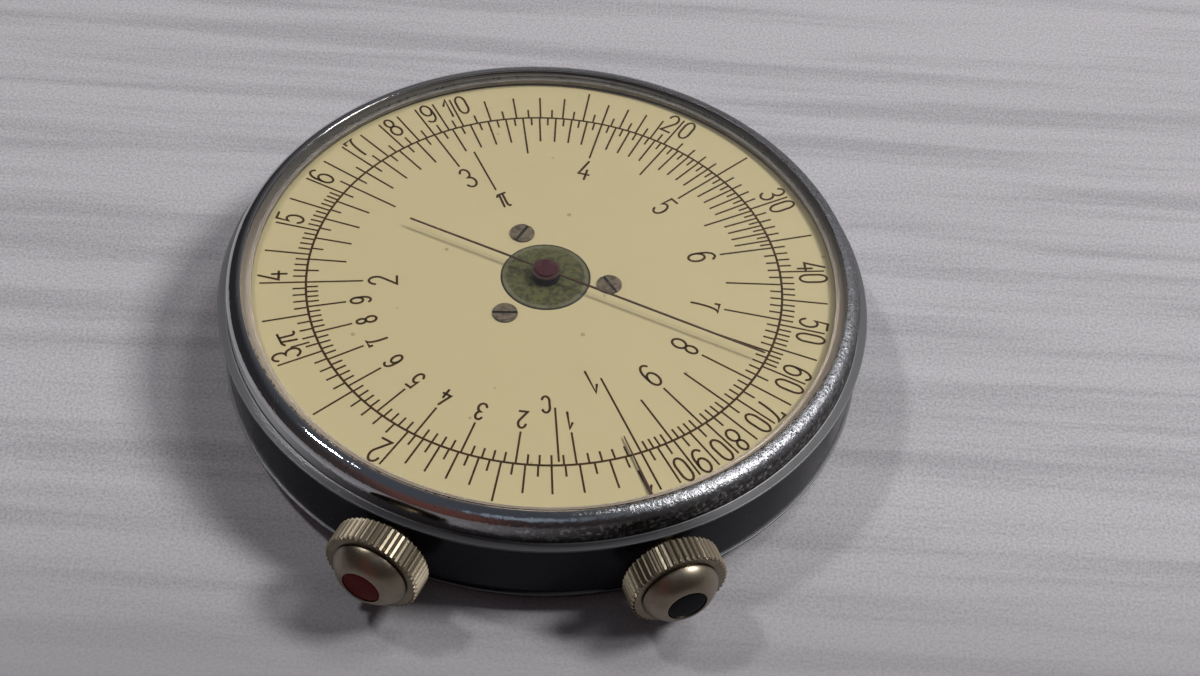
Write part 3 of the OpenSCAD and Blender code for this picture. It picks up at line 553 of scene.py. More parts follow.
class Finish(Tree):
    """A material with one Principled shader, and the shared effects as masks."""

    def __init__(self, name, **plain):
        self.material = bpy.data.materials.new(name)
        self.material.use_nodes = True
        super().__init__(self.material.node_tree)
        self.shader = self.tree.nodes["Principled BSDF"]
        for socket, value in plain.items():
            self.set(socket.replace("_", " "), value)

    def set(self, socket, value):
        """Feed one input of the shader."""
        self.feed(self.shader.inputs[socket], value)

    def effect(self, group, **inputs):
        """The mask of a shared effect with its own values."""
        named = {name.title(): value for name, value in inputs.items()}
        return self.add("ShaderNodeGroup", named, node_tree=group()).outputs["Mask"]

    def stored(self, name):
        """A mask that the piece's mesh keeps as an attribute."""
        return self.add("ShaderNodeAttribute", attribute_name=name).outputs["Fac"]

    def fade(self, place, ends, low=0.0, high=1.0):
        """A mask that grows along an axis between two places in millimetres."""
        return self.remap(place, ends[0] * MM, ends[1] * MM, low, high)

    def tint(self, mask, share, one, two):
        """One colour, with a share of a second one where a mask lies."""
        return self.mix(self.times(mask, share), one, two)

    def roughen(self, mask, low, high):
        """Let the roughness vary between two values with a mask."""
        self.set("Roughness", self.remap(mask, 0.0, 1.0, low, high))

    def cloud(self, tint, shade, rough, **inputs):
        """Clouds in the roughness; gives the tint, varied with them, and their mask."""
        mask = self.effect(patina, **inputs)
        self.roughen(mask, *rough)
        return self.mix(mask, tint, scaled(tint, shade)), mask

    def above_or_below(self, middle):
        """Distance from a level, upwards or downwards."""
        return self.math("ABSOLUTE", self.math("SUBTRACT", self.split(self.place())["Z"], middle))

    def bump(self, height, depth, strength=1.0):
        """Raise or sink the surface by a height map, to a depth in millimetres."""
        inputs = {"Height": height, "Distance": depth * MM, "Strength": strength}
        self.set("Normal", self.add("ShaderNodeBump", inputs).outputs[0])


def scaled(rgb, share):
    """A darker or lighter tone of a colour."""
    return [share * c for c in rgb]


SCUFF_GREY = (0.16, 0.16, 0.165)
DUST_GREY = (0.2, 0.19, 0.18)
ENAMEL_DUST = (0.14, 0.12, 0.11)
CRYSTAL_TINT = (0.97, 0.975, 0.96)
CRYSTAL_SHADOW = (0.95, 0.955, 0.94)


@made_once
def black_moulding():
    """Semi-gloss black moulding with fine scuffs and dust."""
    look = settings().case
    finish = Finish("black_moulding", Specular_IOR_Level=0.07)
    scuff = finish.effect(hairlines, scale=500.0, thinness=0.04, share=0.5)
    dust = finish.effect(specks, scale=1300.0, size=0.2, share=0.25)
    cloud = finish.effect(patina, scale=220.0, low=0.4, high=0.7)
    grey = finish.tint(scuff, 0.05, look.black, SCUFF_GREY)
    finish.set("Base Color", finish.tint(dust, 0.14, grey, DUST_GREY))
    finish.roughen(finish.most(scuff, cloud), 0.2, 0.3)
    finish.bump(finish.noise(1600.0, 3.0), 0.003)
    return finish.material


# Where the plating's wear and the brims' painted dark reflection on the near side start and are full, in
# millimetres along x or y, and from the crest downwards
HANDLED_X = (-4.0, 20.0)
MOTTLED_X = (-14.0, 8.0)
WAVY_X = (-14.0, 2.0)
NEAR_BRIM_REFLECTION_Y = (-19.0, -24.0)
MOTTLED_DOWN = (0.1, 0.9)
MOTTLE_ON_CREST = 0.3
BRIM_ROUGHNESS = 0.5
BRIGHT_ROUGHNESS = 0.03


@made_once
def bright_plating():
    """Bright plating with hairlines and spots, pitted and dulled on the right, with satin brims that are
    darker on the near side as a painted dark reflection and dirtier on the right.
    """
    look = settings().case
    finish = Finish("bright_plating", Metallic=1.0)
    x, y, z = finish.split(finish.place())
    right = finish.fade(x, HANDLED_X)
    brim_top, brim_low = low("front_bezel") + look.brim, high("rear_bezel") - look.brim
    rolled = finish.most(finish.remap(z, brim_top, brim_top + look.fillet),
                         finish.remap(z, brim_low, brim_low - look.fillet))

    lines = finish.effect(hairlines, scale=1200.0, thinness=0.06, share=0.6)
    spots = finish.effect(specks, scale=2400.0, size=0.34, share=0.3)
    pits = finish.effect(specks, scale=5500.0, size=0.65, share=0.9)
    cloud = finish.effect(patina, scale=420.0, low=0.25, high=0.5)
    pitted = finish.times(pits, finish.times(right, cloud))
    mottle = finish.effect(patina, scale=2600.0, low=0.3, high=0.52)
    start, full = (high("front_bezel") - down * MM for down in MOTTLED_DOWN)
    side = finish.times(finish.fade(x, MOTTLED_X), finish.remap(z, start, full, MOTTLE_ON_CREST, 1.0))
    marked = finish.most(finish.most(pitted, finish.times(mottle, side)), finish.times(spots, 0.5))

    # Painted dark reflection on the brims' near part, with handling dirt on the right
    near_reflection_and_dirt = finish.most(finish.fade(y, NEAR_BRIM_REFLECTION_Y), finish.times(right, 0.4))
    satin = finish.mix(near_reflection_and_dirt, look.brim_grey, look.brim_reflection_and_dirt)
    plain = finish.mix(right, look.plating, look.handled)
    finish.set("Base Color", finish.mix(rolled, satin, finish.mix(marked, plain, look.tarnish)))

    dulled = finish.math("MULTIPLY_ADD", right, 0.25, BRIGHT_ROUGHNESS)
    hazy = finish.math("ADD", finish.times(lines, 0.08), dulled)
    over_brim = finish.math("SUBTRACT", finish.math("MULTIPLY_ADD", marked, 0.3, hazy), BRIM_ROUGHNESS)
    finish.set("Roughness", finish.math("MULTIPLY_ADD", rolled, over_brim, BRIM_ROUGHNESS))

    pebbles = finish.times(finish.noise(4500.0, 3.0), finish.times(right, 3.0))
    wavy = finish.times(finish.fade(x, WAVY_X), 3.0)
    waves = finish.math("MULTIPLY_ADD", finish.noise(1300.0, 3.0), wavy, pebbles)
    uneven = finish.math("SUBTRACT", waves, finish.times(finish.most(marked, lines), 0.8))
    finish.bump(finish.times(uneven, rolled), 0.02, 0.9)
    return finish.material


@made_once
def clear_crystal():
    """Clear crystal with faint scratches and dust; light of lamps and of the dial passes straight through."""
    finish = Finish("clear_crystal", Base_Color=CRYSTAL_TINT, IOR=1.49, Transmission_Weight=1.0)
    lines = finish.effect(hairlines, scale=420.0, thinness=0.012, share=0.45)
    dust = finish.effect(specks, scale=700.0, size=0.1, share=0.2)
    finish.roughen(finish.most(lines, dust), 0.0, 0.22)
    path = finish.add("ShaderNodeLightPath").outputs
    straight = finish.most(path["Is Shadow Ray"], path["Is Diffuse Ray"])
    clear = finish.add("ShaderNodeBsdfTransparent", {"Color": CRYSTAL_SHADOW})
    both = finish.add("ShaderNodeMixShader", {0: straight, 1: finish.shader.outputs[0], 2: clear.outputs[0]})
    finish.feed(finish.tree.nodes["Material Output"].inputs["Surface"], both.outputs[0])
    return finish.material


# Where the painted light on the front ring's top starts and is full, in millimetres along y
RING_LIT_Y = (12.0, -8.0)


@made_once
def dull_ring():
    """Dull brownish metal of the rings under the crystals, kept dark to stand also for painted shade on their
    walls; the front one's top is painted lighter on the near side, as if lit.
    """
    look = settings().case
    finish = Finish("dull_ring", Metallic=0.4)
    dull, _ = finish.cloud(look.ring, 0.6, (0.45, 0.6), scale=700.0, low=0.4, high=0.75)
    top = high("glass_seat_ring")
    _, y, z = finish.split(finish.place())
    # Painted light: the top face of the front ring is lighter on the near side
    worn = finish.times(finish.remap(z, top - look.ease, top - look.ease / 2), finish.fade(y, RING_LIT_Y))
    finish.set("Base Color", finish.mix(worn, dull, look.ring_lit_top))
    return finish.material


@made_once
def cream_paint():
    """Satin cream paint with faint clouds, brown specks and hairline scratches."""
    look = settings().dial
    finish = Finish("cream_paint", Specular_IOR_Level=0.35)
    cloud = finish.effect(patina, scale=130.0, low=0.3, high=0.75)
    spots = finish.effect(specks, scale=620.0, size=0.16, share=0.15)
    lines = finish.effect(hairlines, scale=260.0, thinness=0.006, share=0.34)
    clouded = finish.tint(cloud, 0.1, look.cream, look.stain)
    marks = finish.most(finish.times(spots, 0.7), finish.times(lines, 0.4))
    finish.set("Base Color", finish.mix(marks, clouded, look.stain))
    finish.roughen(cloud, 0.4, 0.52)
    finish.bump(finish.noise(2600.0, 2.0), 0.004, 0.5)
    return finish.material


@made_once
def brown_ink():
    """Dark brown printing ink, a little uneven."""
    finish = Finish("brown_ink", Specular_IOR_Level=0.1)
    tint, _ = finish.cloud(settings().dial.ink, 1.9, (0.45, 0.6), scale=1500.0, low=0.35, high=0.75)
    finish.set("Base Color", tint)
    return finish.material


def inner_boss_edge():
    """Radius of the boss that shows inside the front dial's hole."""
    hole, top = reach("front_dial")[0], high("dial_wheel")
    points = [v.co for v in frame["nodes"]["dial_wheel"].data.vertices]
    distances = [math.hypot(p.x, p.y) for p in points if abs(p.z - top) < WELD]
    return max(d for d in distances if d <= hole)


@made_once
def green_brass():
    """Oxidised boss: mottled olive, with a lighter patchy bevel of wear and painted highlight, and a dark
    line of dirt and painted shade at its edge.
    """
    look = settings().dial
    finish = Finish("green_brass", Metallic=0.1, Specular_IOR_Level=0.25)
    cloud = finish.effect(patina, scale=2400.0, low=0.44, high=0.6)
    grains = finish.effect(specks, scale=7000.0, size=0.55, share=0.6)
    edge = inner_boss_edge()
    flat = finish.add("ShaderNodeVectorMath", {0: finish.place(), 1: (1.0, 1.0, 0.0)}, operation="MULTIPLY")
    radius = finish.add("ShaderNodeVectorMath", {0: flat.outputs[0]}, operation="LENGTH").outputs["Value"]
    # Lighter patches on the bevel are wear and a painted highlight; the dark line at the edge is dirt and
    # painted shade
    worn = finish.remap(radius, edge - look.boss_bevel * 1.3, edge - look.boss_bevel * 0.9)
    dirt_and_shade = finish.remap(radius, edge - look.boss_line * 1.3, edge - look.boss_line * 0.8)
    mottled = finish.mix(cloud, look.boss_green, look.boss_brown)
    grained = finish.tint(grains, 0.6, mottled, scaled(look.boss_brown, 0.35))
    patchy = finish.times(worn, finish.effect(patina, scale=260.0, low=0.35, high=0.6))
    bevelled = finish.tint(patchy, 0.75, grained, look.boss_edge_highlight)
    finish.set("Base Color", finish.tint(dirt_and_shade, 0.9, bevelled, look.dirt_and_shade))
    finish.roughen(cloud, 0.5, 0.65)
    finish.bump(finish.math("SUBTRACT", finish.noise(3500.0, 4.0), grains), 0.012, 0.7)
    return finish.material


@made_once
def works_brass():
    """Brass of the hidden works."""
    finish = Finish("works_brass", Metallic=1.0)
    tint, _ = finish.cloud(settings().pointer.brass, 0.5, (0.28, 0.5), scale=500.0, low=0.4, high=0.75)
    finish.set("Base Color", tint)
    return finish.material


@made_once
def stained_steel():
    """Dull steel of the hidden screws, with brown stains."""
    finish = Finish("stained_steel", Metallic=0.3, Specular_IOR_Level=0.3)
    tint, _ = finish.cloud(settings().dial.screw, 0.55, (0.36, 0.6), scale=1900.0, low=0.4, high=0.7)
    finish.set("Base Color", tint)
    finish.bump(finish.noise(2600.0, 3.0), 0.008, 0.5)
    return finish.material


@made_once
def slotted_steel():
    """Stained steel of the dial screws, darkened with dirt and painted shade in their slots and under their
    heads.
    """
    look = settings().dial
    finish = Finish("slotted_steel", Metallic=0.3, Specular_IOR_Level=0.3)
    cloud = finish.effect(patina, scale=2600.0, low=0.42, high=0.62)
    grains = finish.effect(specks, scale=7000.0, size=0.5, share=0.5)
    stains = finish.mix(finish.most(cloud, finish.times(grains, 0.6)), look.screw, look.screw_stain)
    middle = (low("rear_dial_screws") + high("dial_screws")) / 2
    top = high("dial_screws") - middle
    # Dirt and painted shade: the slots and everything below the heads' tops are darkened
    sunk = finish.remap(finish.above_or_below(middle), top - look.screw_ease, top - 1.4 * look.screw_ease)
    finish.set("Base Color", finish.mix(sunk, stains, look.dirt_and_shade))
    finish.roughen(cloud, 0.4, 0.6)
    finish.bump(finish.math("SUBTRACT", finish.noise(2600.0, 3.0), grains), 0.01, 0.5)
    return finish.material


@made_once
def turned_steel():
    """Turned steel of the stems, pinions and arbor."""
    steel = settings().pointer.steel
    finish = Finish("turned_steel", Metallic=1.0)
    lines = finish.effect(hairlines, scale=2400.0, thinness=0.1, share=0.7)
    finish.set("Base Color", finish.tint(lines, 0.4, steel, scaled(steel, 0.5)))
    finish.roughen(lines, 0.25, 0.42)
    return finish.material


@made_once
def dark_needle():
    """Dark paint of the pointers and the index, worn to metal in places."""
    look = settings().pointer
    finish = Finish("dark_needle", Metallic=0.3)
    worn = finish.effect(patina, scale=1800.0, low=0.55, high=0.72)
    finish.set("Base Color", finish.tint(worn, 0.5, look.needle, look.bare))
    finish.roughen(worn, 0.35, 0.5)
    return finish.material


@made_once
def worn_red():
    """Worn dark red paint of the pointers' hubs and caps, with painted shade on the collars below the caps.
    """
    look = settings().pointer
    finish = Finish("worn_red", Specular_IOR_Level=0.2)
    worn = finish.effect(patina, scale=1500.0, low=0.5, high=0.7)
    grains = finish.effect(specks, scale=4200.0, size=0.5, share=0.5)
    dull = finish.tint(worn, 0.25, look.red, look.bare)
    grained = finish.tint(grains, 0.4, dull, scaled(look.red, 0.3))
    middle = (low("rear_pointer_cap") + high("front_pointer_cap")) / 2
    level = low("front_pointer_cap") - middle
    apart = finish.above_or_below(middle)
    # Painted shade: the collars below each cap take the dark colour
    shaded_below = finish.remap(apart, level - 2 * look.cap_crown, level - 4 * look.cap_crown)
    finish.set("Base Color", finish.mix(shaded_below, grained, look.collar_shade))
    finish.roughen(worn, 0.4, 0.62)
    finish.bump(finish.math("SUBTRACT", finish.noise(3000.0, 4.0), grains), 0.012, 0.6)
    return finish.material


@made_once
def nickel_silver():
    """Warm grey nickel, dull on the knurl and darkened between the ridges with grime and painted shade."""
    look = settings().knob
    finish = Finish("nickel_silver", Metallic=1.0)
    dirt_and_shade, knurl = finish.stored("grime_and_shade"), finish.stored("knurl")
    cloud = finish.effect(patina, scale=900.0, low=0.4, high=0.68)
    pits = finish.effect(specks, scale=3800.0, size=0.45, share=0.3)
    lines = finish.effect(hairlines, scale=1500.0, thinness=0.08, share=0.6)
    dulled = finish.tint(cloud, 0.35, look.nickel, scaled(look.nickel, 0.55))
    pitted = finish.tint(pits, 0.3, dulled, look.grime_and_shade)
    # Dirt and painted shade darken the knurl's valleys and the groove
    finish.set("Base Color", finish.tint(dirt_and_shade, 0.92, pitted, look.grime_and_shade))
    worn = finish.remap(finish.most(finish.times(cloud, 0.6), lines), 0.0, 1.0, 0.33, 0.46)
    dull = finish.most(finish.times(knurl, 0.56), finish.times(dirt_and_shade, 0.64))
    finish.set("Roughness", finish.most(worn, dull))
    finish.bump(finish.math("SUBTRACT", finish.noise(2800.0, 3.0), pits), 0.01, 0.5)
    return finish.material


def enamel(name, tint):
    """Glossy enamel of a knob's dot with a little dust."""
    finish = Finish(name, Specular_IOR_Level=0.05)
    dust = finish.effect(specks, scale=2600.0, size=0.2, share=0.12)
    lines = finish.effect(hairlines, scale=2200.0, thinness=0.05, share=0.5)
    finish.set("Base Color", finish.tint(dust, 0.35, tint, ENAMEL_DUST))
    finish.roughen(finish.most(dust, lines), 0.16, 0.34)
    finish.bump(finish.noise(1500.0, 2.0), 0.01, 0.4)
    return finish.material


@made_once
def red_enamel():
    """Dark red enamel."""
    return enamel("red_enamel", settings().knob.red)


@made_once
def black_enamel():
    """Black enamel."""
    return enamel("black_enamel", settings().knob.black)


# Marks of the table top: scale, detail and roughness of the noise, first and full value, and strength
FLOOR_STREAKS = (300.0, 5.0, 0.6, 0.42, 0.66, 0.4)
FLOOR_VEINS = (110.0, 3.0, 0.5, 0.55, 0.75, 0.55)
FLOOR_GRIT = (4200.0, 3.0, 0.7, 0.35, 0.7, 0.7)
STREAK_TURN = 13.0
STREAK_STRETCH = (0.05, 1.0, 1.0)
# Where the painted shadow on the table top's near side starts and is full, in millimetres along y
FLOOR_SHADOW_Y = (-10.0, -42.0)


@made_once
def pale_floor():
    """Pale grey table top with faint long streaks, matt, with a painted shadow that makes it darker and
    plainer on the near side.
    """
    look = settings().stage
    finish = Finish("pale_floor", Roughness=0.6, Specular_IOR_Level=0.25)

    def marks(scale, detail, roughness, first, full, strength, place=None):
        noise = finish.noise(scale, detail, roughness, place)
        return finish.times(finish.remap(noise, first, full), strength)

    drawn = finish.drawn_out(STREAK_TURN, STREAK_STRETCH)
    long_marks = finish.math("ADD", marks(*FLOOR_STREAKS, drawn), marks(*FLOOR_VEINS, drawn))
    worn = finish.mix(finish.math("ADD", long_marks, marks(*FLOOR_GRIT)), look.floor, look.grain)
    # Painted shadow: the table top darkens and grows plainer towards the near side
    near = finish.fade(finish.split(finish.place())["Y"], FLOOR_SHADOW_Y)
    finish.set("Base Color", finish.tint(near, 0.95, worn, scaled(look.floor, 0.5)))
    return finish.material


# Geometry trees

GEOMETRY = "NodeSocketGeometry"
MATERIAL = "NodeSocketMaterial"
INTEGER = "NodeSocketInt"
RIDGE_FLANK = (0.92, 0.45)
BAND_DEPTH = 1.1
# Share of the groove's darkening, which is dirt and painted shade
GROOVE_SHADE = 0.3


def geometry_group(name, **inputs):
    """Start a geometry tree with its own inputs between its geometry and its material."""
    named = {label.replace("_", " "): default for label, default in inputs.items()}
    ends = {"Geometry": GEOMETRY}
    return grouped(name, "GeometryNodeTree", {**ends, **named, "Material": MATERIAL}, ends)


def end_tree(tree, geometry):
    """Realise what a geometry tree made and give it its material."""
    solid = tree.add("GeometryNodeRealizeInstances", {0: geometry}).outputs[0]
    inputs = {"Geometry": solid, "Material": tree.given["Material"]}
    tree.feed(tree.result["Geometry"], tree.add("GeometryNodeSetMaterial", inputs).outputs[0])
    return tree.tree


def spread_on_circle(tree, count, radius, turn, height):
    """Points round the axis, each at the turn that its index gives."""
    x, y = (tree.times(radius, tree.math(way, turn)) for way in ("COSINE", "SINE"))
    place = tree.xyz(x, y, height)
    return tree.add("GeometryNodePoints", {"Count": count, "Position": place}).outputs[0]


@made_once
def tick_tree():
    """One class of ticks of a logarithmic scale, added to the ticks that come in."""
    tree = geometry_group("log_scale_ticks", First=1.0, Step=0.1, Count=INTEGER, Leave_Out=INTEGER,
                          Decade=math.pi, Zero=0.0, Inner=0.0, Outer=0.0, Width=0.0, Depth=0.0, Height=0.0)
    given = tree.given
    index = tree.add("GeometryNodeInputIndex").outputs[0]
    value = tree.math("MULTIPLY_ADD", index, given["Step"], given["First"])
    turn = tree.math("MULTIPLY_ADD", tree.math("LOGARITHM", value, 10.0), given["Decade"], given["Zero"])
    middle = tree.times(tree.math("ADD", given["Inner"], given["Outer"]), 0.5)
    points = spread_on_circle(tree, given["Count"], middle, turn, given["Height"])
    size = tree.xyz(tree.math("SUBTRACT", given["Outer"], given["Inner"]), given["Width"], given["Depth"])
    line = tree.add("GeometryNodeMeshCube", {"Size": size}).outputs["Mesh"]
    between = tree.math("GREATER_THAN", tree.math("MODULO", index, given["Leave Out"]), 0.5)
    shown = tree.math("ADD", between, tree.math("LESS_THAN", given["Leave Out"], 0.5))
    ticks = tree.add("GeometryNodeInstanceOnPoints", {
        "Points": points, "Instance": line, "Selection": shown, "Rotation": tree.xyz(z=turn)})
    joined = tree.add("GeometryNodeJoinGeometry", {0: ticks.outputs[0]})
    tree.feed(joined.inputs[0], given["Geometry"])
    return end_tree(tree, joined.outputs[0])


@made_once
def screw_tree():
    """Copies of the screw that comes in, spread on a circle."""
    tree = geometry_group("screws_on_circle", Count=INTEGER, Radius=0.0, First=0.0)
    given = tree.given
    index = tree.add("GeometryNodeInputIndex").outputs[0]
    apart = tree.math("DIVIDE", 2 * math.pi, given["Count"])
    turn = tree.math("MULTIPLY_ADD", index, apart, given["First"])
    points = spread_on_circle(tree, given["Count"], given["Radius"], turn, 0.0)
    screws = tree.add("GeometryNodeInstanceOnPoints", {
        "Points": points, "Instance": given["Geometry"], "Rotation": tree.xyz(z=turn)})
    return end_tree(tree, screws.outputs[0])


@made_once
def knurl_tree():
    """Grooves pressed into a turned band; stored attributes keep the band and the darkening of its valleys
    and of the groove, which is dirt and painted shade.
    """
    tree = geometry_group("knurl", Ridges=INTEGER, Radius=0.0, Depth=0.0, Ease=0.0, Groove=0.0,
                          Groove_Width=0.0, Groove_Radius=0.0)
    given = tree.given
    place = tree.add("GeometryNodeInputPosition").outputs[0]
    x, y, z = tree.split(place)
    radius = tree.math("SQRT", tree.math("ADD", tree.times(x, x), tree.times(y, y)))
    turns = tree.math("DIVIDE", tree.math("ARCTAN2", y, x), 2 * math.pi)
    phase = tree.math("FRACT", tree.math("ADD", tree.times(turns, given["Ridges"]), 0.5))
    off_middle = tree.math("ABSOLUTE", tree.math("MULTIPLY_ADD", phase, 2.0, -1.0))
    valley = tree.remap(off_middle, *RIDGE_FLANK)
    foot = tree.math("SUBTRACT", given["Radius"], tree.times(given["Depth"], valley))
    pressed = tree.math("DIVIDE", tree.math("MINIMUM", radius, foot), tree.most(radius, TINY))
    moved = tree.add("GeometryNodeSetPosition", {
        "Geometry": given["Geometry"],
        "Position": tree.xyz(tree.times(x, pressed), tree.times(y, pressed), z)})
    band_foot = tree.math("SUBTRACT", given["Radius"], tree.times(given["Ease"], BAND_DEPTH))
    band = tree.math("GREATER_THAN", radius, band_foot)
    beside = tree.math("ABSOLUTE", tree.math("SUBTRACT", z, given["Groove"]))
    inside = tree.times(tree.math("LESS_THAN", beside, given["Groove Width"]),
                        tree.math("LESS_THAN", radius, given["Groove Radius"]))
    # Darkening of dirt and painted shade in the knurl's valleys and in the groove
    grime_and_shade = tree.most(tree.times(band, valley), tree.times(inside, GROOVE_SHADE))
    geometry = moved.outputs[0]
    for name, value in (("grime_and_shade", grime_and_shade), ("knurl", band)):
        inputs = {"Geometry": geometry, "Name": name, "Value": value}
        stored = tree.add("GeometryNodeStoreNamedAttribute", inputs, data_type="FLOAT", domain="POINT")
        geometry = stored.outputs[0]
    return end_tree(tree, geometry)


def grow(obj, tree, **inputs):
    """Add a geometry tree to an object, with its inputs given by name."""
    modifier = obj.modifiers.new(tree.name, "NODES")
    modifier.node_group = tree
    sockets = {s.name: s.identifier for s in tree.interface.items_tree
               if s.item_type == "SOCKET" and s.in_out == "INPUT"}
    for name, value in inputs.items():
        modifier[sockets[name.replace("_", " ")]] = value


def settle(obj):
    """Take an object's modifiers into its mesh; returns the plain mesh and removes the object."""
    bpy.context.view_layer.update()
    depsgraph = bpy.context.evaluated_depsgraph_get()
    mesh = bpy.data.meshes.new_from_object(
        obj.evaluated_get(depsgraph), preserve_all_data_layers=True, depsgraph=depsgraph)
    bpy.data.objects.remove(obj)
    return mesh


def start(name, mesh=None):
    """An object for geometry trees to work on."""
    obj = bpy.data.objects.new(name, mesh or bpy.data.meshes.new(name))
    bpy.context.scene.collection.objects.link(obj)
    return obj


# Numerals drawn as pen strokes in a box one unit wide and one unit tall

def oval(centre, radii):
    """A closed oval stroke."""
    return arc(centre, radii, 0, 360)[:-1], True


def stroke(*points):
    """An open stroke."""
    return list(points), False


def turned_over(strokes):
    """Strokes turned upside down."""
    return [([(1 - x, 1 - y) for x, y in points], closed) for points, closed in strokes]


SIX = [oval((0.5, 0.31), (0.48, 0.31)), stroke((0.02, 0.31), *arc((0.56, 0.6), (0.54, 0.4), 180, 48))]
STROKES = {
    "0": [(arc((0.5, 0.68), (0.46, 0.32), 180, 0) + arc((0.5, 0.32), (0.46, 0.32), 0, -180), True)],
    "1": [stroke((0.62, 0.0), (0.62, 1.0), (0.22, 0.68))],
    "2": [stroke(*arc((0.5, 0.72), (0.46, 0.28), 168, -32), (0.04, 0.0), (0.98, 0.0))],
    "3": [stroke(*arc((0.46, 0.76), (0.42, 0.24), 158, -90), *arc((0.46, 0.26), (0.5, 0.26), 90, -158)[1:])],
    "4": [stroke((0.58, 1.0), (0.0, 0.28), (1.0, 0.28)), stroke((0.7, 0.52), (0.7, 0.0))],
    "5": [stroke((0.92, 1.0), (0.18, 1.0), *arc((0.46, 0.32), (0.48, 0.32), 140, -152))],
    "6": SIX,
    "7": [stroke((0.03, 0.86), (0.03, 1.0), *arc((0.97, 0.0), (0.6, 1.0), 90, 180))],
    "8": [oval((0.5, 0.77), (0.38, 0.23)), oval((0.5, 0.27), (0.48, 0.27))],
    "9": turned_over(SIX),
    "C": [stroke(*arc((0.5, 0.7), (0.46, 0.3), 25, 180), *arc((0.5, 0.3), (0.46, 0.3), 180, 335))],
    "p": [stroke((-0.1, 0.8), (0.1, 0.92), (1.15, 0.98)), stroke((0.3, 0.93), (0.16, 0.0)),
          stroke((0.76, 0.96), *arc((0.96, 0.2), (0.24, 0.2), 180, 290))],
}
CAP_TURNS = (70, 35)
LEAST_BEND = 0.5


def with_round_ends(points, half):
    """Each point of an open stroke with its half width, with round ends added."""
    def cap(end, inner):
        outward = (end - inner).normalized()
        turns = [math.radians(t) for t in CAP_TURNS]
        return [(end + outward * half * math.sin(t), half * math.cos(t)) for t in turns]
    body = [(p, half) for p in points]
    return cap(points[0], points[1]) + body + cap(points[-1], points[-2])[::-1]


def side_of(before, here, after):
    """Direction from a stroke's middle to its left edge, longer at a bend."""
    inward, outward = (here - before).normalized(), (after - here).normalized()
    along = (inward + outward).normalized()
    side = Vector((-along.y, along.x))
    return side / max(LEAST_BEND, abs(along.dot(outward)))


class Sheet:
    """Print on a dial: lines up glyphs at a radius and an angle and draws them as thin solid strokes."""

    def __init__(self, height, reading):
        self.bm = bmesh.new()
        self.height = height
        self.reading = reading
        self.pen = settings().dial.pen
        self.depth = settings().dial.ink_depth

    def point(self, spot, turn, x, y, lift):
        """A glyph's point on the dial; glyphs stand outwards and read clockwise as the dial is seen."""
        out = Vector((math.cos(turn), math.sin(turn), 0.0))
        across = Vector((math.sin(turn), -math.cos(turn), 0.0)) * self.reading
        lifted = Vector((0.0, 0.0, self.height + lift * self.reading))
        return out * (spot[0] + y) + across * (spot[1] + x) + lifted

    def draw(self, glyph, radius, turn, shift, tall, stretch=1.0):
        """Draw one glyph with its middle at a radius, a turn and a shift across."""
        wide = tall * settings().dial.narrow * stretch
        for points, closed in STROKES[glyph]:
            path = [Vector(((x - 0.5) * wide, (y - 0.5) * tall)) for x, y in points]
            half = self.pen / 2
            rings = [(p, half) for p in path] if closed else with_round_ends(path, half)
            self.ribbon(rings, closed, (radius, shift), turn)

    def ribbon(self, rings, closed, spot, turn):
        """A thin solid along a stroke."""
        middles = [p for p, _ in rings]
        first, last = middles[-1], middles[0]
        if not closed:
            first, last = 2 * middles[0] - middles[1], 2 * middles[-1] - middles[-2]
        line = [first, *middles, last]
        loops = []
        for i, (middle, half) in enumerate(rings):
            side = side_of(line[i], middle, line[i + 2]) * half
            left, right = middle + side, middle - side
            corners = ((left, 0.0), (right, 0.0), (right, self.depth), (left, self.depth))
            loops.append([self.bm.verts.new(self.point(spot, turn, p.x, p.y, lift)) for p, lift in corners])
        pairs = list(zip(loops, loops[1:] + loops[:1]))
        for one, two in pairs if closed else pairs[:-1]:
            for k in range(4):
                self.bm.faces.new((one[k], one[(k + 1) % 4], two[(k + 1) % 4], two[k]))
        if not closed:
            self.bm.faces.new(loops[0][::-1])
            self.bm.faces.new(loops[-1])

    def add_mesh(self, mesh):
        """Add finished print, such as ticks."""
        self.bm.from_mesh(mesh)

    def add_circle(self, radius):
        """Add a printed circle."""
        half, top = settings().dial.circle_line / 2, self.height + self.depth * self.reading
        inner, outer = radius - half, radius + half
        section = [(inner, self.height), (outer, self.height), (outer, top), (inner, top)]
        self.add_mesh(mesh_of("circle", turned(section)))

    def finish(self, name):
        """The print as one piece."""
        bmesh.ops.recalc_face_normals(self.bm, faces=self.bm.faces)
        return piece(name, mesh_of(name, self.bm), brown_ink())


# Scales: first value, step, number of ticks, which are left out for longer ones, and where the ticks end

FULL_TURN = 360.0
HALF_TURN = 180.0
INNER_SHORT, INNER_MEDIUM, INNER_LONG, INNER_ONE = 18.05, 15.98, 14.5, 11.33
OUTER_SHORT, OUTER_MEDIUM, OUTER_LONG = 20.05, 21.62, 22.65
INNER_TICKS = (
    (1.0, 1.0, 1, 0, INNER_ONE),
    (1.1, 0.1, 9, 0, INNER_MEDIUM),
    (1.0, 0.02, 50, 5, INNER_SHORT),
    (2.0, 0.5, 16, 0, INNER_LONG),
    (2.0, 0.1, 40, 5, INNER_MEDIUM),
    (2.0, 0.05, 80, 2, INNER_SHORT),
    (6.0, 0.1, 40, 5, INNER_SHORT),
)
OUTER_TICKS = (
    (1.0, 0.5, 18, 0, OUTER_LONG),
    (1.0, 0.1, 10, 5, OUTER_MEDIUM),
    (1.0, 0.05, 20, 2, OUTER_SHORT),
    (2.0, 0.1, 40, 5, OUTER_SHORT),
    (6.0, 0.25, 16, 2, OUTER_SHORT),
)
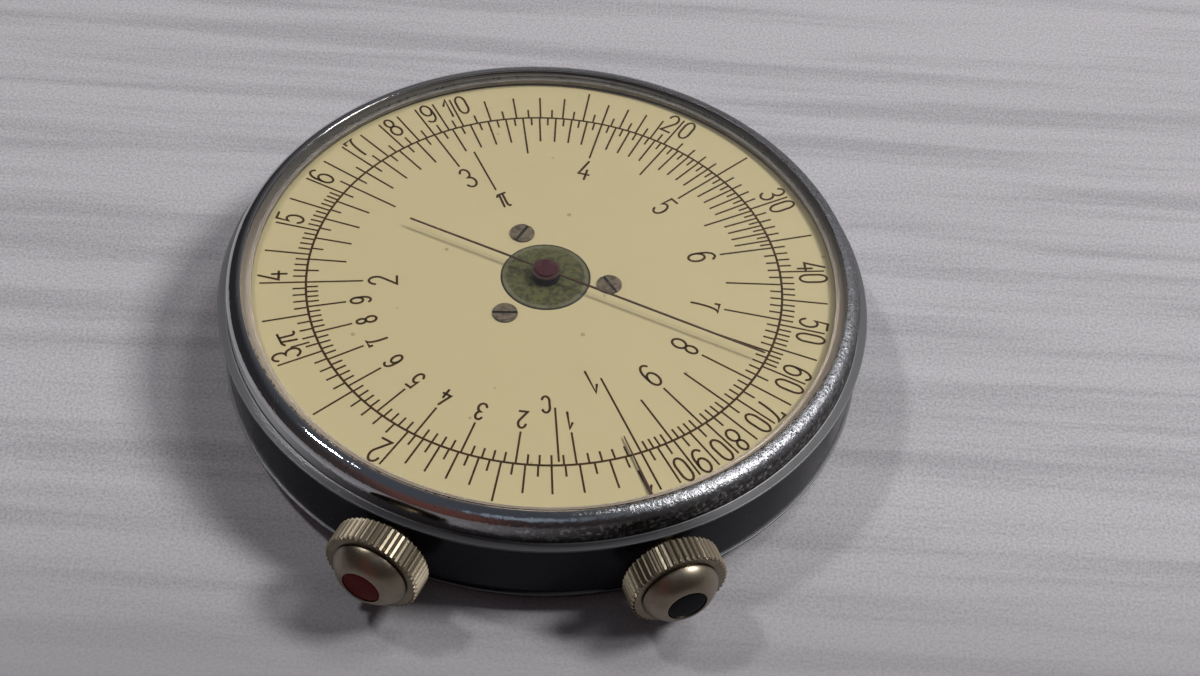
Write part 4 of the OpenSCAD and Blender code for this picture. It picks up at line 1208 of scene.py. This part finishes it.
# Lines that stand alone: value, degrees of a decade, inner and outer end
GAUGE_MARK = 1.128
FREE_LINES = (
    (GAUGE_MARK, FULL_TURN, 13.54, 18.68),
    (math.pi, FULL_TURN, 10.67, 15.67),
    (math.pi, HALF_TURN, 19.63, 21.13),
)
# Numerals: radius in millimetres and shift across
ONE_AT, GAUGE_AT, PI_AT = (11.43, 0.79), (13.21, 0.68), (9.37, 0.15)
TENTHS_AT, UNITS_AT = (14.83, 0.0), (12.95, 0.0)
OUTER_PI_AT, OUTER_PI_TALL, OUTER_PI_STRETCH = (21.1, 0.95), 1.3, 1.9
OUTER_RADIUS = 21.65
UNIT_SHIFT, TEN_SHIFT, SLIM_TEN_SHIFT, NOUGHT_SHIFT = 0.78, -0.78, -0.5, 0.8
SLIM_TENS = (1, 4)
REAR_RADIUS = 20.6


def turn_of(value, decade, zero):
    """Angle of a value on a scale whose decade takes that many degrees."""
    return zero + math.radians(decade) * math.log10(value)


def print_ticks(name, rows, decade, inner_edge, height):
    """The ticks of one scale as a mesh; each row ends inside or outside the printed circle."""
    look = settings().dial
    obj = start(name)
    for first, step, count, leave_out, end in rows:
        inner, outer = sorted((end * MM, inner_edge))
        grow(obj, tick_tree(), First=first, Step=step, Count=count, Leave_Out=leave_out,
             Decade=math.radians(decade), Zero=look.zero, Inner=inner, Outer=outer, Width=look.tick_line,
             Depth=look.ink_depth, Height=height, Material=brown_ink())
    return settle(obj)


def print_line(value, decade, inner, outer, height):
    """One line that stands alone, as a mesh."""
    return print_ticks("line", ((value, 1.0, 1, 0, outer),), decade, inner * MM, height)


def draw_front_numerals(sheet):
    """The numerals of both front scales."""
    look = settings().dial
    tall, small = look.tall, look.small

    def draw(glyph, value, decade, at, size, stretch=1.0):
        radius, shift = at
        sheet.draw(glyph, radius * MM, turn_of(value, -decade, look.zero), shift * MM, size, stretch)

    draw("1", 1.0, FULL_TURN, ONE_AT, tall)
    draw("C", GAUGE_MARK, FULL_TURN, GAUGE_AT, small)
    draw("p", math.pi, FULL_TURN, PI_AT, small)
    draw("p", math.pi, HALF_TURN, OUTER_PI_AT, OUTER_PI_TALL * MM, OUTER_PI_STRETCH)
    for digit in range(1, 10):
        ten_shift = SLIM_TEN_SHIFT if digit in SLIM_TENS else TEN_SHIFT
        draw(str(digit), 1 + digit / 10, FULL_TURN, TENTHS_AT, small)
        draw(str(digit), digit, HALF_TURN, (OUTER_RADIUS, UNIT_SHIFT), tall)
        draw(str(digit), 10 * digit, HALF_TURN, (OUTER_RADIUS, ten_shift), tall)
        draw("0", 10 * digit, HALF_TURN, (OUTER_RADIUS, NOUGHT_SHIFT), tall)
    for digit in range(2, 10):
        draw(str(digit), digit, FULL_TURN, UNITS_AT, tall)


# Operators, one for each piece or group of like pieces

class SLIDERULE_OT_case(bpy.types.Operator):
    """Finish the moulded case"""
    bl_idname = "slide_rule.case"
    bl_label = "Case"

    def execute(self, context):
        seat(welded_piece("moulded_case", "case_body", black_moulding()), "case", "case_plastic", "case_body")
        return {"FINISHED"}


def brim_edge(look, outer, bottom, top):
    """The rounded outer edge of a bezel's brim, from its underside to its top."""
    ease = look.brim_ease
    edge = outer - ease
    return [(edge - FLAT, bottom), *rounding((edge, bottom + ease), ease, -90, 0),
            *rounding((edge, top - ease), ease, 0, 90), (edge - FLAT, top)]


class SLIDERULE_OT_front_bezel(bpy.types.Operator):
    """Turn the plated front bezel"""
    bl_idname = "slide_rule.front_bezel"
    bl_label = "Front bezel"

    def execute(self, context):
        look = settings().case
        lip, outer = reach("front_bezel")
        bottom, top = low("front_bezel"), high("front_bezel")
        skirt, pocket = inner_at("front_bezel", bottom), reach("front_glass")[1] + look.gap
        seat_top, lip_low = low("front_glass") + look.gap, low("front_glass") + look.crystal_rim + look.gap
        brim_top, body = bottom + look.brim, outer - look.brim_width
        crest, ease, fillet = lip + look.crest_in, look.crest_ease, look.fillet
        section = [(skirt, bottom), *brim_edge(look, outer, bottom, brim_top)]
        section += [(body + fillet + FLAT, brim_top)]
        section += rounding((body + fillet, brim_top + fillet), fillet, 270, 180)
        section += arc((crest, top - look.crest_drop), (body - crest, look.crest_drop), 0, 90)
        section += [(crest - FLAT, top), (lip + ease + FLAT, top)]
        section += rounding((lip + ease, top - ease), ease, 90, 180)
        section += [(lip, lip_low), (pocket, lip_low), (pocket, seat_top), (skirt, seat_top)]
        bezel = turned_piece("plated_front_bezel", section, bright_plating())
        seat(bezel, "case", "bezel_chrome", "front_bezel")
        return {"FINISHED"}


class SLIDERULE_OT_rear_bezel(bpy.types.Operator):
    """Turn the plated rear bezel"""
    bl_idname = "slide_rule.rear_bezel"
    bl_label = "Rear bezel"

    def execute(self, context):
        look = settings().case
        lip, outer = reach("rear_bezel")
        top, body = high("rear_bezel"), outer - look.brim_width
        skirt, pocket = inner_at("rear_bezel", top), reach("rear_glass")[1] + look.gap
        lip_top, pocket_top = low("rear_glass") - look.gap, high("rear_glass") - look.gap
        rim_in = lip + look.rim_bevel
        rim_out = rim_in + look.rim
        brim_low, fillet = top - look.brim, look.fillet
        section = [(lip, lip_top), (lip, look.rim_bevel), (rim_in, 0.0)]
        section += arc((rim_out, look.roll), (body - rim_out, look.roll), -90, 0)
        section += rounding((body + fillet, brim_low - fillet), fillet, 180, 90)
        section += brim_edge(look, outer, brim_low, top)
        section += [(skirt, top), (skirt, pocket_top), (pocket, pocket_top), (pocket, lip_top)]
        bezel = turned_piece("plated_rear_bezel", section, bright_plating())
        seat(bezel, "case", "bezel_chrome", "rear_bezel")
        return {"FINISHED"}


DOME_SHARES = (0.0, 0.25, 0.5, 0.7, 0.85, 0.95, 0.992, 1.0)


def dome(edge, height, rise):
    """Points on a shallow dome from the axis to its edge."""
    return [(edge * share, height + rise * (1 - share * share)) for share in DOME_SHARES]


class SLIDERULE_OT_crystals(bpy.types.Operator):
    """Cut the domed front crystal, the flat rear crystal and the rings that hold them"""
    bl_idname = "slide_rule.crystals"
    bl_label = "Crystals"

    def execute(self, context):
        look = settings().case
        lip, seat_edge, edge = reach("front_bezel")[0], reach("glass_seat_ring")[0], reach("front_glass")[1]
        bottom = low("front_glass")
        side, hollow = lip - look.gap, bottom + look.crystal_step
        rim, crest = bottom + look.crystal_rim, high("front_bezel") - look.lip_edge
        domed = dome(seat_edge - look.gap, hollow, look.crystal_rise)
        domed += [(seat_edge, bottom), (edge, bottom), (edge, rim), (side, rim), (side, crest)]
        shoulder = hollow + look.crystal_wall
        domed += dome(lip - look.crystal_bevel, shoulder, high("front_glass") - shoulder)[::-1]
        edge, bottom, top = reach("rear_glass")[1], low("rear_glass"), high("rear_glass")
        flat = [(0.0, bottom), (edge, bottom), (edge, top), (0.0, top)]
        for name, node, section in (("front_crystal", "front_glass", domed),
                                    ("rear_crystal", "rear_glass", flat)):
            mesh = mesh_of(name, turned(section))
            seat(piece(name, mesh, clear_crystal(), CRYSTAL_SHARP_ANGLE), "case", "crystal", node)
        for name, node, overhang in (("front_seat_ring", "glass_seat_ring", look.ring_overhang),
                                     ("rear_seat_ring", "rear_spacer_ring", 0.0)):
            inner, outer = reach(node)
            inner -= overhang
            corners = [(inner, low(node)), (outer, low(node)), (outer, high(node)), (inner, high(node))]
            seat(turned_piece(name, eased(corners, look.ease), dull_ring()), "case", "ring_metal", node)
        return {"FINISHED"}


class SLIDERULE_OT_dials(bpy.types.Operator):
    """Paint the two dials"""
    bl_idname = "slide_rule.dials"
    bl_label = "Dials"

    def execute(self, context):
        dress(cream_paint(), "front_dial", "rear_dial")
        wheel = welded_piece("boss_and_dial_wheel", "dial_wheel", green_brass())
        seat(wheel, "dial", "wheel_brass", "dial_wheel")
        return {"FINISHED"}


class SLIDERULE_OT_front_print(bpy.types.Operator):
    """Print the two scales on the front dial"""
    bl_idname = "slide_rule.front_print"
    bl_label = "Front scales"

    def execute(self, context):
        look = settings().dial
        sheet = Sheet(high("front_dial"), 1.0)
        middle = sheet.height + look.ink_depth / 2
        sheet.add_mesh(print_ticks("inner_ticks", INNER_TICKS, -FULL_TURN, look.circle, middle))
        sheet.add_mesh(print_ticks("outer_ticks", OUTER_TICKS, -HALF_TURN, look.circle, middle))
        tens = [(10 * first, 10 * step, *rest) for first, step, *rest in OUTER_TICKS]
        sheet.add_mesh(print_ticks("outer_tens", tens, -HALF_TURN, look.circle, middle))
        for value, decade, inner, outer in FREE_LINES:
            sheet.add_mesh(print_line(value, -decade, inner, outer, middle))
        sheet.add_circle(look.circle)
        draw_front_numerals(sheet)
        seat(sheet.finish("front_scale_print"), "dial", "dial_paint")
        return {"FINISHED"}


class SLIDERULE_OT_rear_print(bpy.types.Operator):
    """Print a plain scale on the rear dial"""
    bl_idname = "slide_rule.rear_print"
    bl_label = "Rear scale"

    def execute(self, context):
        look = settings().dial
        sheet = Sheet(low("rear_dial"), -1.0)
        middle = sheet.height - look.ink_depth / 2
        sheet.add_mesh(print_ticks("rear_ticks", INNER_TICKS, FULL_TURN, look.circle, middle))
        sheet.add_circle(look.circle)
        for digit in range(1, 10):
            sheet.draw(str(digit), REAR_RADIUS * MM, turn_of(digit, FULL_TURN, look.zero), 0.0, look.tall)
        seat(sheet.finish("rear_scale_print"), "case", "dial_paint")
        return {"FINISHED"}


SCREW_GAP = 0.5


def screw_places(node):
    """First angle, circle radius and number of a node's screws, from the places of its points."""
    inner, outer = reach(node)
    radius = (inner + outer) / 2
    turns = sorted(math.atan2(v.co.y, v.co.x) for v in frame["nodes"][node].data.vertices)
    gaps = [i for i in range(1, len(turns)) if turns[i] - turns[i - 1] > SCREW_GAP]
    first_group = turns[gaps[0]:gaps[1]] if len(gaps) > 1 else turns[:gaps[0]]
    count = len(gaps) + (1 if turns[0] + 2 * math.pi - turns[-1] > SCREW_GAP else 0)
    return (first_group[0] + first_group[-1]) / 2, radius, count


def slotted_screw(node, upward):
    """A screw at the axis with a rounded, slotted head, as tall as a node's screws."""
    look = settings().dial
    bottom, top = low(node), high(node)
    seat_height = high("front_dial") if upward else low("rear_dial")
    head, shank = look.screw_head, look.screw_shank
    foot, end = (bottom, top) if upward else (top, bottom)
    corners = [(0.0, foot), (shank, foot), (shank, seat_height), (head, seat_height), (head, end), (0.0, end)]
    obj = start("screw", mesh_of("screw", turned(eased(corners, look.screw_ease), SMALL_TURN_STEPS)))
    cutter = bmesh.new()
    across = Matrix.Rotation(look.slot_turn * (1 if upward else -1), 4, "Z")
    size = Matrix.Diagonal((4 * head, look.slot_width, 2 * look.slot_depth, 1.0))
    bmesh.ops.create_cube(cutter, size=1.0, matrix=Matrix.Translation((0.0, 0.0, end)) @ across @ size)
    tool = start("slot_cutter", mesh_of("slot_cutter", cutter))
    cut = obj.modifiers.new("slot", "BOOLEAN")
    cut.object = tool
    cut.operation = "DIFFERENCE"
    return obj, tool


class SLIDERULE_OT_screws(bpy.types.Operator):
    """Make the slotted screws of both dials"""
    bl_idname = "slide_rule.screws"
    bl_label = "Dial screws"

    def execute(self, context):
        for name, node, body, upward in (("front_dial_screw_set", "dial_screws", "dial", True),
                                         ("rear_dial_screw_set", "rear_dial_screws", "case", False)):
            first, radius, count = screw_places(node)
            obj, tool = slotted_screw(node, upward)
            grow(obj, screw_tree(), Count=count, Radius=radius, First=first, Material=slotted_steel())
            mesh = settle(obj)
            bpy.data.objects.remove(tool)
            seat(piece(name, mesh, slotted_steel()), body, "screw_steel", node)
        return {"FINISHED"}


class SLIDERULE_OT_pointers(bpy.types.Operator):
    """Finish the pointers, the index needle, their hubs and their caps"""
    bl_idname = "slide_rule.pointers"
    bl_label = "Pointers"

    def execute(self, context):
        look = settings().pointer
        dress(dark_needle(), "front_pointer", "rear_pointer")
        self.set_index(look)
        bore = reach("front_pointer_hub")[0]
        for name, node, side in (("front_cap", "front_pointer_cap", 1), ("rear_cap", "rear_pointer_cap", -1)):
            edge = reach(node)[1]
            seat_height, top = (low(node), high(node)) if side > 0 else (high(node), low(node))
            arbor_end = (high if side > 0 else low)("pointer_arbor") + side * settings().case.gap
            shoulder = top - side * look.cap_crown
            corners = [(bore, seat_height), (edge, seat_height), (edge, shoulder), (0.0, top)]
            corners += [(0.0, arbor_end), (bore, arbor_end)]
            cap = turned_piece(name, eased(corners, look.cap_ease), worn_red(), SMALL_TURN_STEPS)
            seat(cap, "pointers", "pointer_red", node)
        for name, node in (("front_hub", "front_pointer_hub"), ("rear_hub", "rear_pointer_hub")):
            seat(welded_piece(name, node, worn_red()), "pointers", "pointer_red", node)
        return {"FINISHED"}

    def set_index(self, look):
        """The fixed index as a thin blade that widens a little towards its foot."""
        node = "index_needle"
        inner, outer = reach(node)
        points = [v.co for v in frame["nodes"][node].data.vertices]
        turn = math.atan2(sum(p.y for p in points), sum(p.x for p in points))
        tip, foot = look.index_tip / 2, look.index_foot / 2
        corners = [(inner, -tip), (outer, -foot), (outer, foot), (inner, tip)]
        bm = bmesh.new()
        faces = [[bm.verts.new((x, y, z)) for x, y in corners] for z in (low(node), high(node))]
        join_rings(bm, *faces)
        for face in faces:
            bm.faces.new(face)
        bmesh.ops.recalc_face_normals(bm, faces=bm.faces)
        mesh = mesh_of("index_blade", bm)
        mesh.transform(Matrix.Rotation(turn, 4, "Z"))
        seat(piece("index_blade", mesh, dark_needle()), "case", "needle_black", node)


POINTS_PER_RIDGE = 10


def knob_section(look, neck_start, end, radius):
    """Half section of a knob along its stem."""
    back = neck_start + look.neck_length
    front = back + look.knurl
    dome = front + look.groove
    ease = look.knurl_ease
    section = [(look.bore, neck_start), (look.neck, neck_start), (look.neck, back)]
    section += rounding((radius - ease, back + ease), ease, -90, 0)
    section += rounding((radius - ease, front - ease), ease, 0, 90)
    section += [(look.groove_radius, front), (look.groove_radius, dome)]
    for quarter in arc((0.0, 0.0), (1.0, 1.0), 0, 90):
        out, on = (max(share, 0.0) ** look.taper for share in quarter)
        section.append((look.end + (look.dome - look.end) * out, dome + (end - dome) * on))
    floor = end - look.seat_depth
    section += [(look.seat, end), (look.seat, floor), (0.0, floor)]
    bore_end = neck_start + look.bore_depth
    return section + [(0.0, bore_end), (look.bore, bore_end)]


class SLIDERULE_OT_knobs(bpy.types.Operator):
    """Turn and knurl the two knobs and fill their dots"""
    bl_idname = "slide_rule.knobs"
    bl_label = "Knobs"

    def execute(self, context):
        look = settings().knob
        for crown, enamelled, slot in (("dial", black_enamel, "dot_black"),
                                       ("pointer", red_enamel, "dot_red")):
            joint, node = crown + "_knob_turn", crown + "_knob"
            neck_start, end, radius = along_stem(node, joint)
            section = knob_section(look, neck_start, end, radius)
            obj = start("knob", mesh_of("knob", turned(section, POINTS_PER_RIDGE * look.ridges)))
            groove = neck_start + look.neck_length + look.knurl + look.groove / 2
            grow(obj, knurl_tree(), Ridges=look.ridges, Radius=radius, Depth=look.depth, Ease=look.knurl_ease,
                 Groove=groove, Groove_Width=look.groove, Groove_Radius=look.dome, Material=nickel_silver())
            mesh = settle(obj)
            mesh.transform(stem_frame(joint))
            seat(piece("knurled_" + node, mesh, nickel_silver()), crown + "_crown", "knob_nickel", node)
            self.fill_dot(node + "_dot", joint, crown + "_crown", enamelled(), slot)
        return {"FINISHED"}

    def fill_dot(self, node, joint, body, finish, slot):
        """Pour the enamel of one dot, a little higher in the middle."""
        bottom, top, edge = along_stem(node, joint)
        crown = settings().knob.dot_crown
        section = [(0.0, bottom), (edge, bottom)] + arc((0.0, top - crown), (edge, 2 * crown), 0, 90)
        mesh = mesh_of(node, turned(section, SMALL_TURN_STEPS))
        mesh.transform(stem_frame(joint))
        seat(piece("enamel_" + node, mesh, finish), body, slot, node)


class SLIDERULE_OT_works(bpy.types.Operator):
    """Finish the works, the stems and their bushes"""
    bl_idname = "slide_rule.works"
    bl_label = "Works"

    def execute(self, context):
        dress(works_brass(), "base_plate", "bridge_pillars", "bridge", "dial_bearing", "arbor_bush",
              "pointer_wheel", "dial_stem_bush", "pointer_stem_bush")
        dress(stained_steel(), "plate_screws", "bridge_screws")
        dress(turned_steel(), "pointer_arbor", "dial_stem", "dial_pinion", "dial_stem_clip", "pointer_stem",
              "pointer_pinion", "pointer_stem_clip")
        return {"FINISHED"}


FLOOR_SIZE = 1.2
SENSOR_WIDTH = 36.0
CLIP_START = 1.0 * MM
# Where the sides of the room meet, as parts of the direction that is seen
LEFT_TO_FAR_X = (-0.6, 0.3)
WARM_BEGINS_X, WARM_ENDS_X = (-0.05, -0.3), (-0.8, -0.5)
NEAR_TO_FAR_Y = (-0.5, 0.3)
WALLS_TO_ABOVE_Z = (0.6, 0.95)
WINDOW_WAY = (0.0, -0.45, 0.893)
WINDOW_EDGE = (0.955, 0.998)


class SLIDERULE_OT_stage(bpy.types.Operator):
    """Set the floor, the light and the camera"""
    bl_idname = "slide_rule.stage"
    bl_label = "Stage"

    def execute(self, context):
        look = settings().stage
        context.scene.view_settings.view_transform = "Standard"
        self.lay_floor()
        self.light_room(look)
        self.hang_lamp("key", look.key, look.lamp_size, look.key_azimuth, look.key_elevation)
        self.hang_lamp("back", look.back_lamp, look.lamp_size, look.back_azimuth, look.back_elevation)
        self.hang_lamp("fill", look.fill, look.fill_size, look.fill_azimuth, look.fill_elevation)
        self.place_camera(look)
        return {"FINISHED"}

    def lay_floor(self):
        """A large plain table top under the rule."""
        bm = bmesh.new()
        bmesh.ops.create_grid(bm, x_segments=1, y_segments=1, size=FLOOR_SIZE)
        piece("table_top", mesh_of("table_top", bm), pale_floor())

    def light_room(self, look):
        """A dim room: light across the table, dark behind the camera and on the left, with a window above."""
        world = bpy.data.worlds.new("room")
        world.use_nodes = True
        tree = Tree(world.node_tree)
        way = tree.add("ShaderNodeTexCoord").outputs["Generated"]
        x, y, z = tree.split(way)
        far = tree.mix(tree.remap(x, *LEFT_TO_FAR_X), look.left, look.far)
        beside = tree.times(tree.remap(x, *WARM_BEGINS_X), tree.remap(x, *WARM_ENDS_X))
        near = tree.mix(beside, look.near, look.warm)
        walls = tree.mix(tree.remap(y, *NEAR_TO_FAR_Y), near, far)
        sky = tree.mix(tree.remap(z, *WALLS_TO_ABOVE_Z), walls, look.above)
        aside = tree.add("ShaderNodeVectorMath", {0: way, 1: WINDOW_WAY}, operation="DOT_PRODUCT")
        lit = tree.mix(tree.remap(aside.outputs["Value"], *WINDOW_EDGE), sky, look.window)
        background = world.node_tree.nodes["Background"].inputs
        tree.feed(background["Color"], lit)
        tree.feed(background["Strength"], look.room)
        bpy.context.scene.world = world

    def hang_lamp(self, name, power, size, azimuth, elevation):
        """A square lamp that faces the rule."""
        lamp = bpy.data.lights.new(name, "AREA")
        lamp.energy = power
        lamp.size = size
        flat = math.cos(elevation)
        aim = Vector((flat * math.cos(azimuth), flat * math.sin(azimuth), math.sin(elevation)))
        away = Matrix.Translation(aim * settings().stage.lamp_distance)
        obj = bpy.data.objects.new(name, lamp)
        obj.matrix_world = away @ aim.to_track_quat("Z", "Y").to_matrix().to_4x4()
        bpy.context.scene.collection.objects.link(obj)

    def place_camera(self, look):
        """The camera at the photograph's angle."""
        camera = bpy.data.cameras.new("camera")
        camera.sensor_fit = "HORIZONTAL"
        camera.sensor_width = SENSOR_WIDTH
        camera.lens = look.focal
        camera.clip_start = CLIP_START
        obj = bpy.data.objects.new("camera", camera)
        about, roll = (Matrix.Rotation(turn, 4, "Z") for turn in (look.azimuth, look.roll))
        tilt = Matrix.Rotation(math.pi / 2 - look.elevation, 4, "X")
        stand = Matrix.Translation((look.aside, -look.back, look.up))
        obj.matrix_world = about @ stand @ tilt @ roll
        bpy.context.scene.collection.objects.link(obj)
        bpy.context.scene.camera = obj


OPERATORS = (
    SLIDERULE_OT_case, SLIDERULE_OT_front_bezel, SLIDERULE_OT_rear_bezel, SLIDERULE_OT_crystals,
    SLIDERULE_OT_dials, SLIDERULE_OT_front_print, SLIDERULE_OT_rear_print, SLIDERULE_OT_screws,
    SLIDERULE_OT_pointers, SLIDERULE_OT_knobs, SLIDERULE_OT_works, SLIDERULE_OT_stage,
)


class SLIDERULE_PT_panel(bpy.types.Panel):
    """Lists the pieces and their settings."""
    bl_idname = "SLIDERULE_PT_panel"
    bl_label = "Circular Slide Rule"
    bl_space_type = "VIEW_3D"
    bl_region_type = "UI"
    bl_category = "Slide Rule"

    def draw(self, context):
        for operator in OPERATORS:
            self.layout.operator(operator.bl_idname)
        for group in ("case", "dial", "pointer", "knob", "stage"):
            box = self.layout.box()
            box.label(text=group.title())
            chosen = getattr(context.scene.slide_rule, group)
            for name in chosen.bl_rna.properties.keys():
                if name not in ("rna_type", "name"):
                    box.prop(chosen, name)


GROUPS = (CaseSettings, DialSettings, PointerSettings, KnobSettings, StageSettings, SlideRuleSettings)
CLASSES = (*GROUPS, *OPERATORS, SLIDERULE_PT_panel)


def register():
    """Add the settings, the operators and the panel."""
    for cls in CLASSES:
        bpy.utils.register_class(cls)
    bpy.types.Scene.slide_rule = PointerProperty(type=SlideRuleSettings)


def unregister():
    """Take them out again."""
    del bpy.types.Scene.slide_rule
    for cls in reversed(CLASSES):
        bpy.utils.unregister_class(cls)


def main():
    """Build every piece in order."""
    register()
    for operator in OPERATORS:
        group, name = operator.bl_idname.split(".")
        getattr(getattr(bpy.ops, group), name)()


if __name__ == "__main__":
    main()
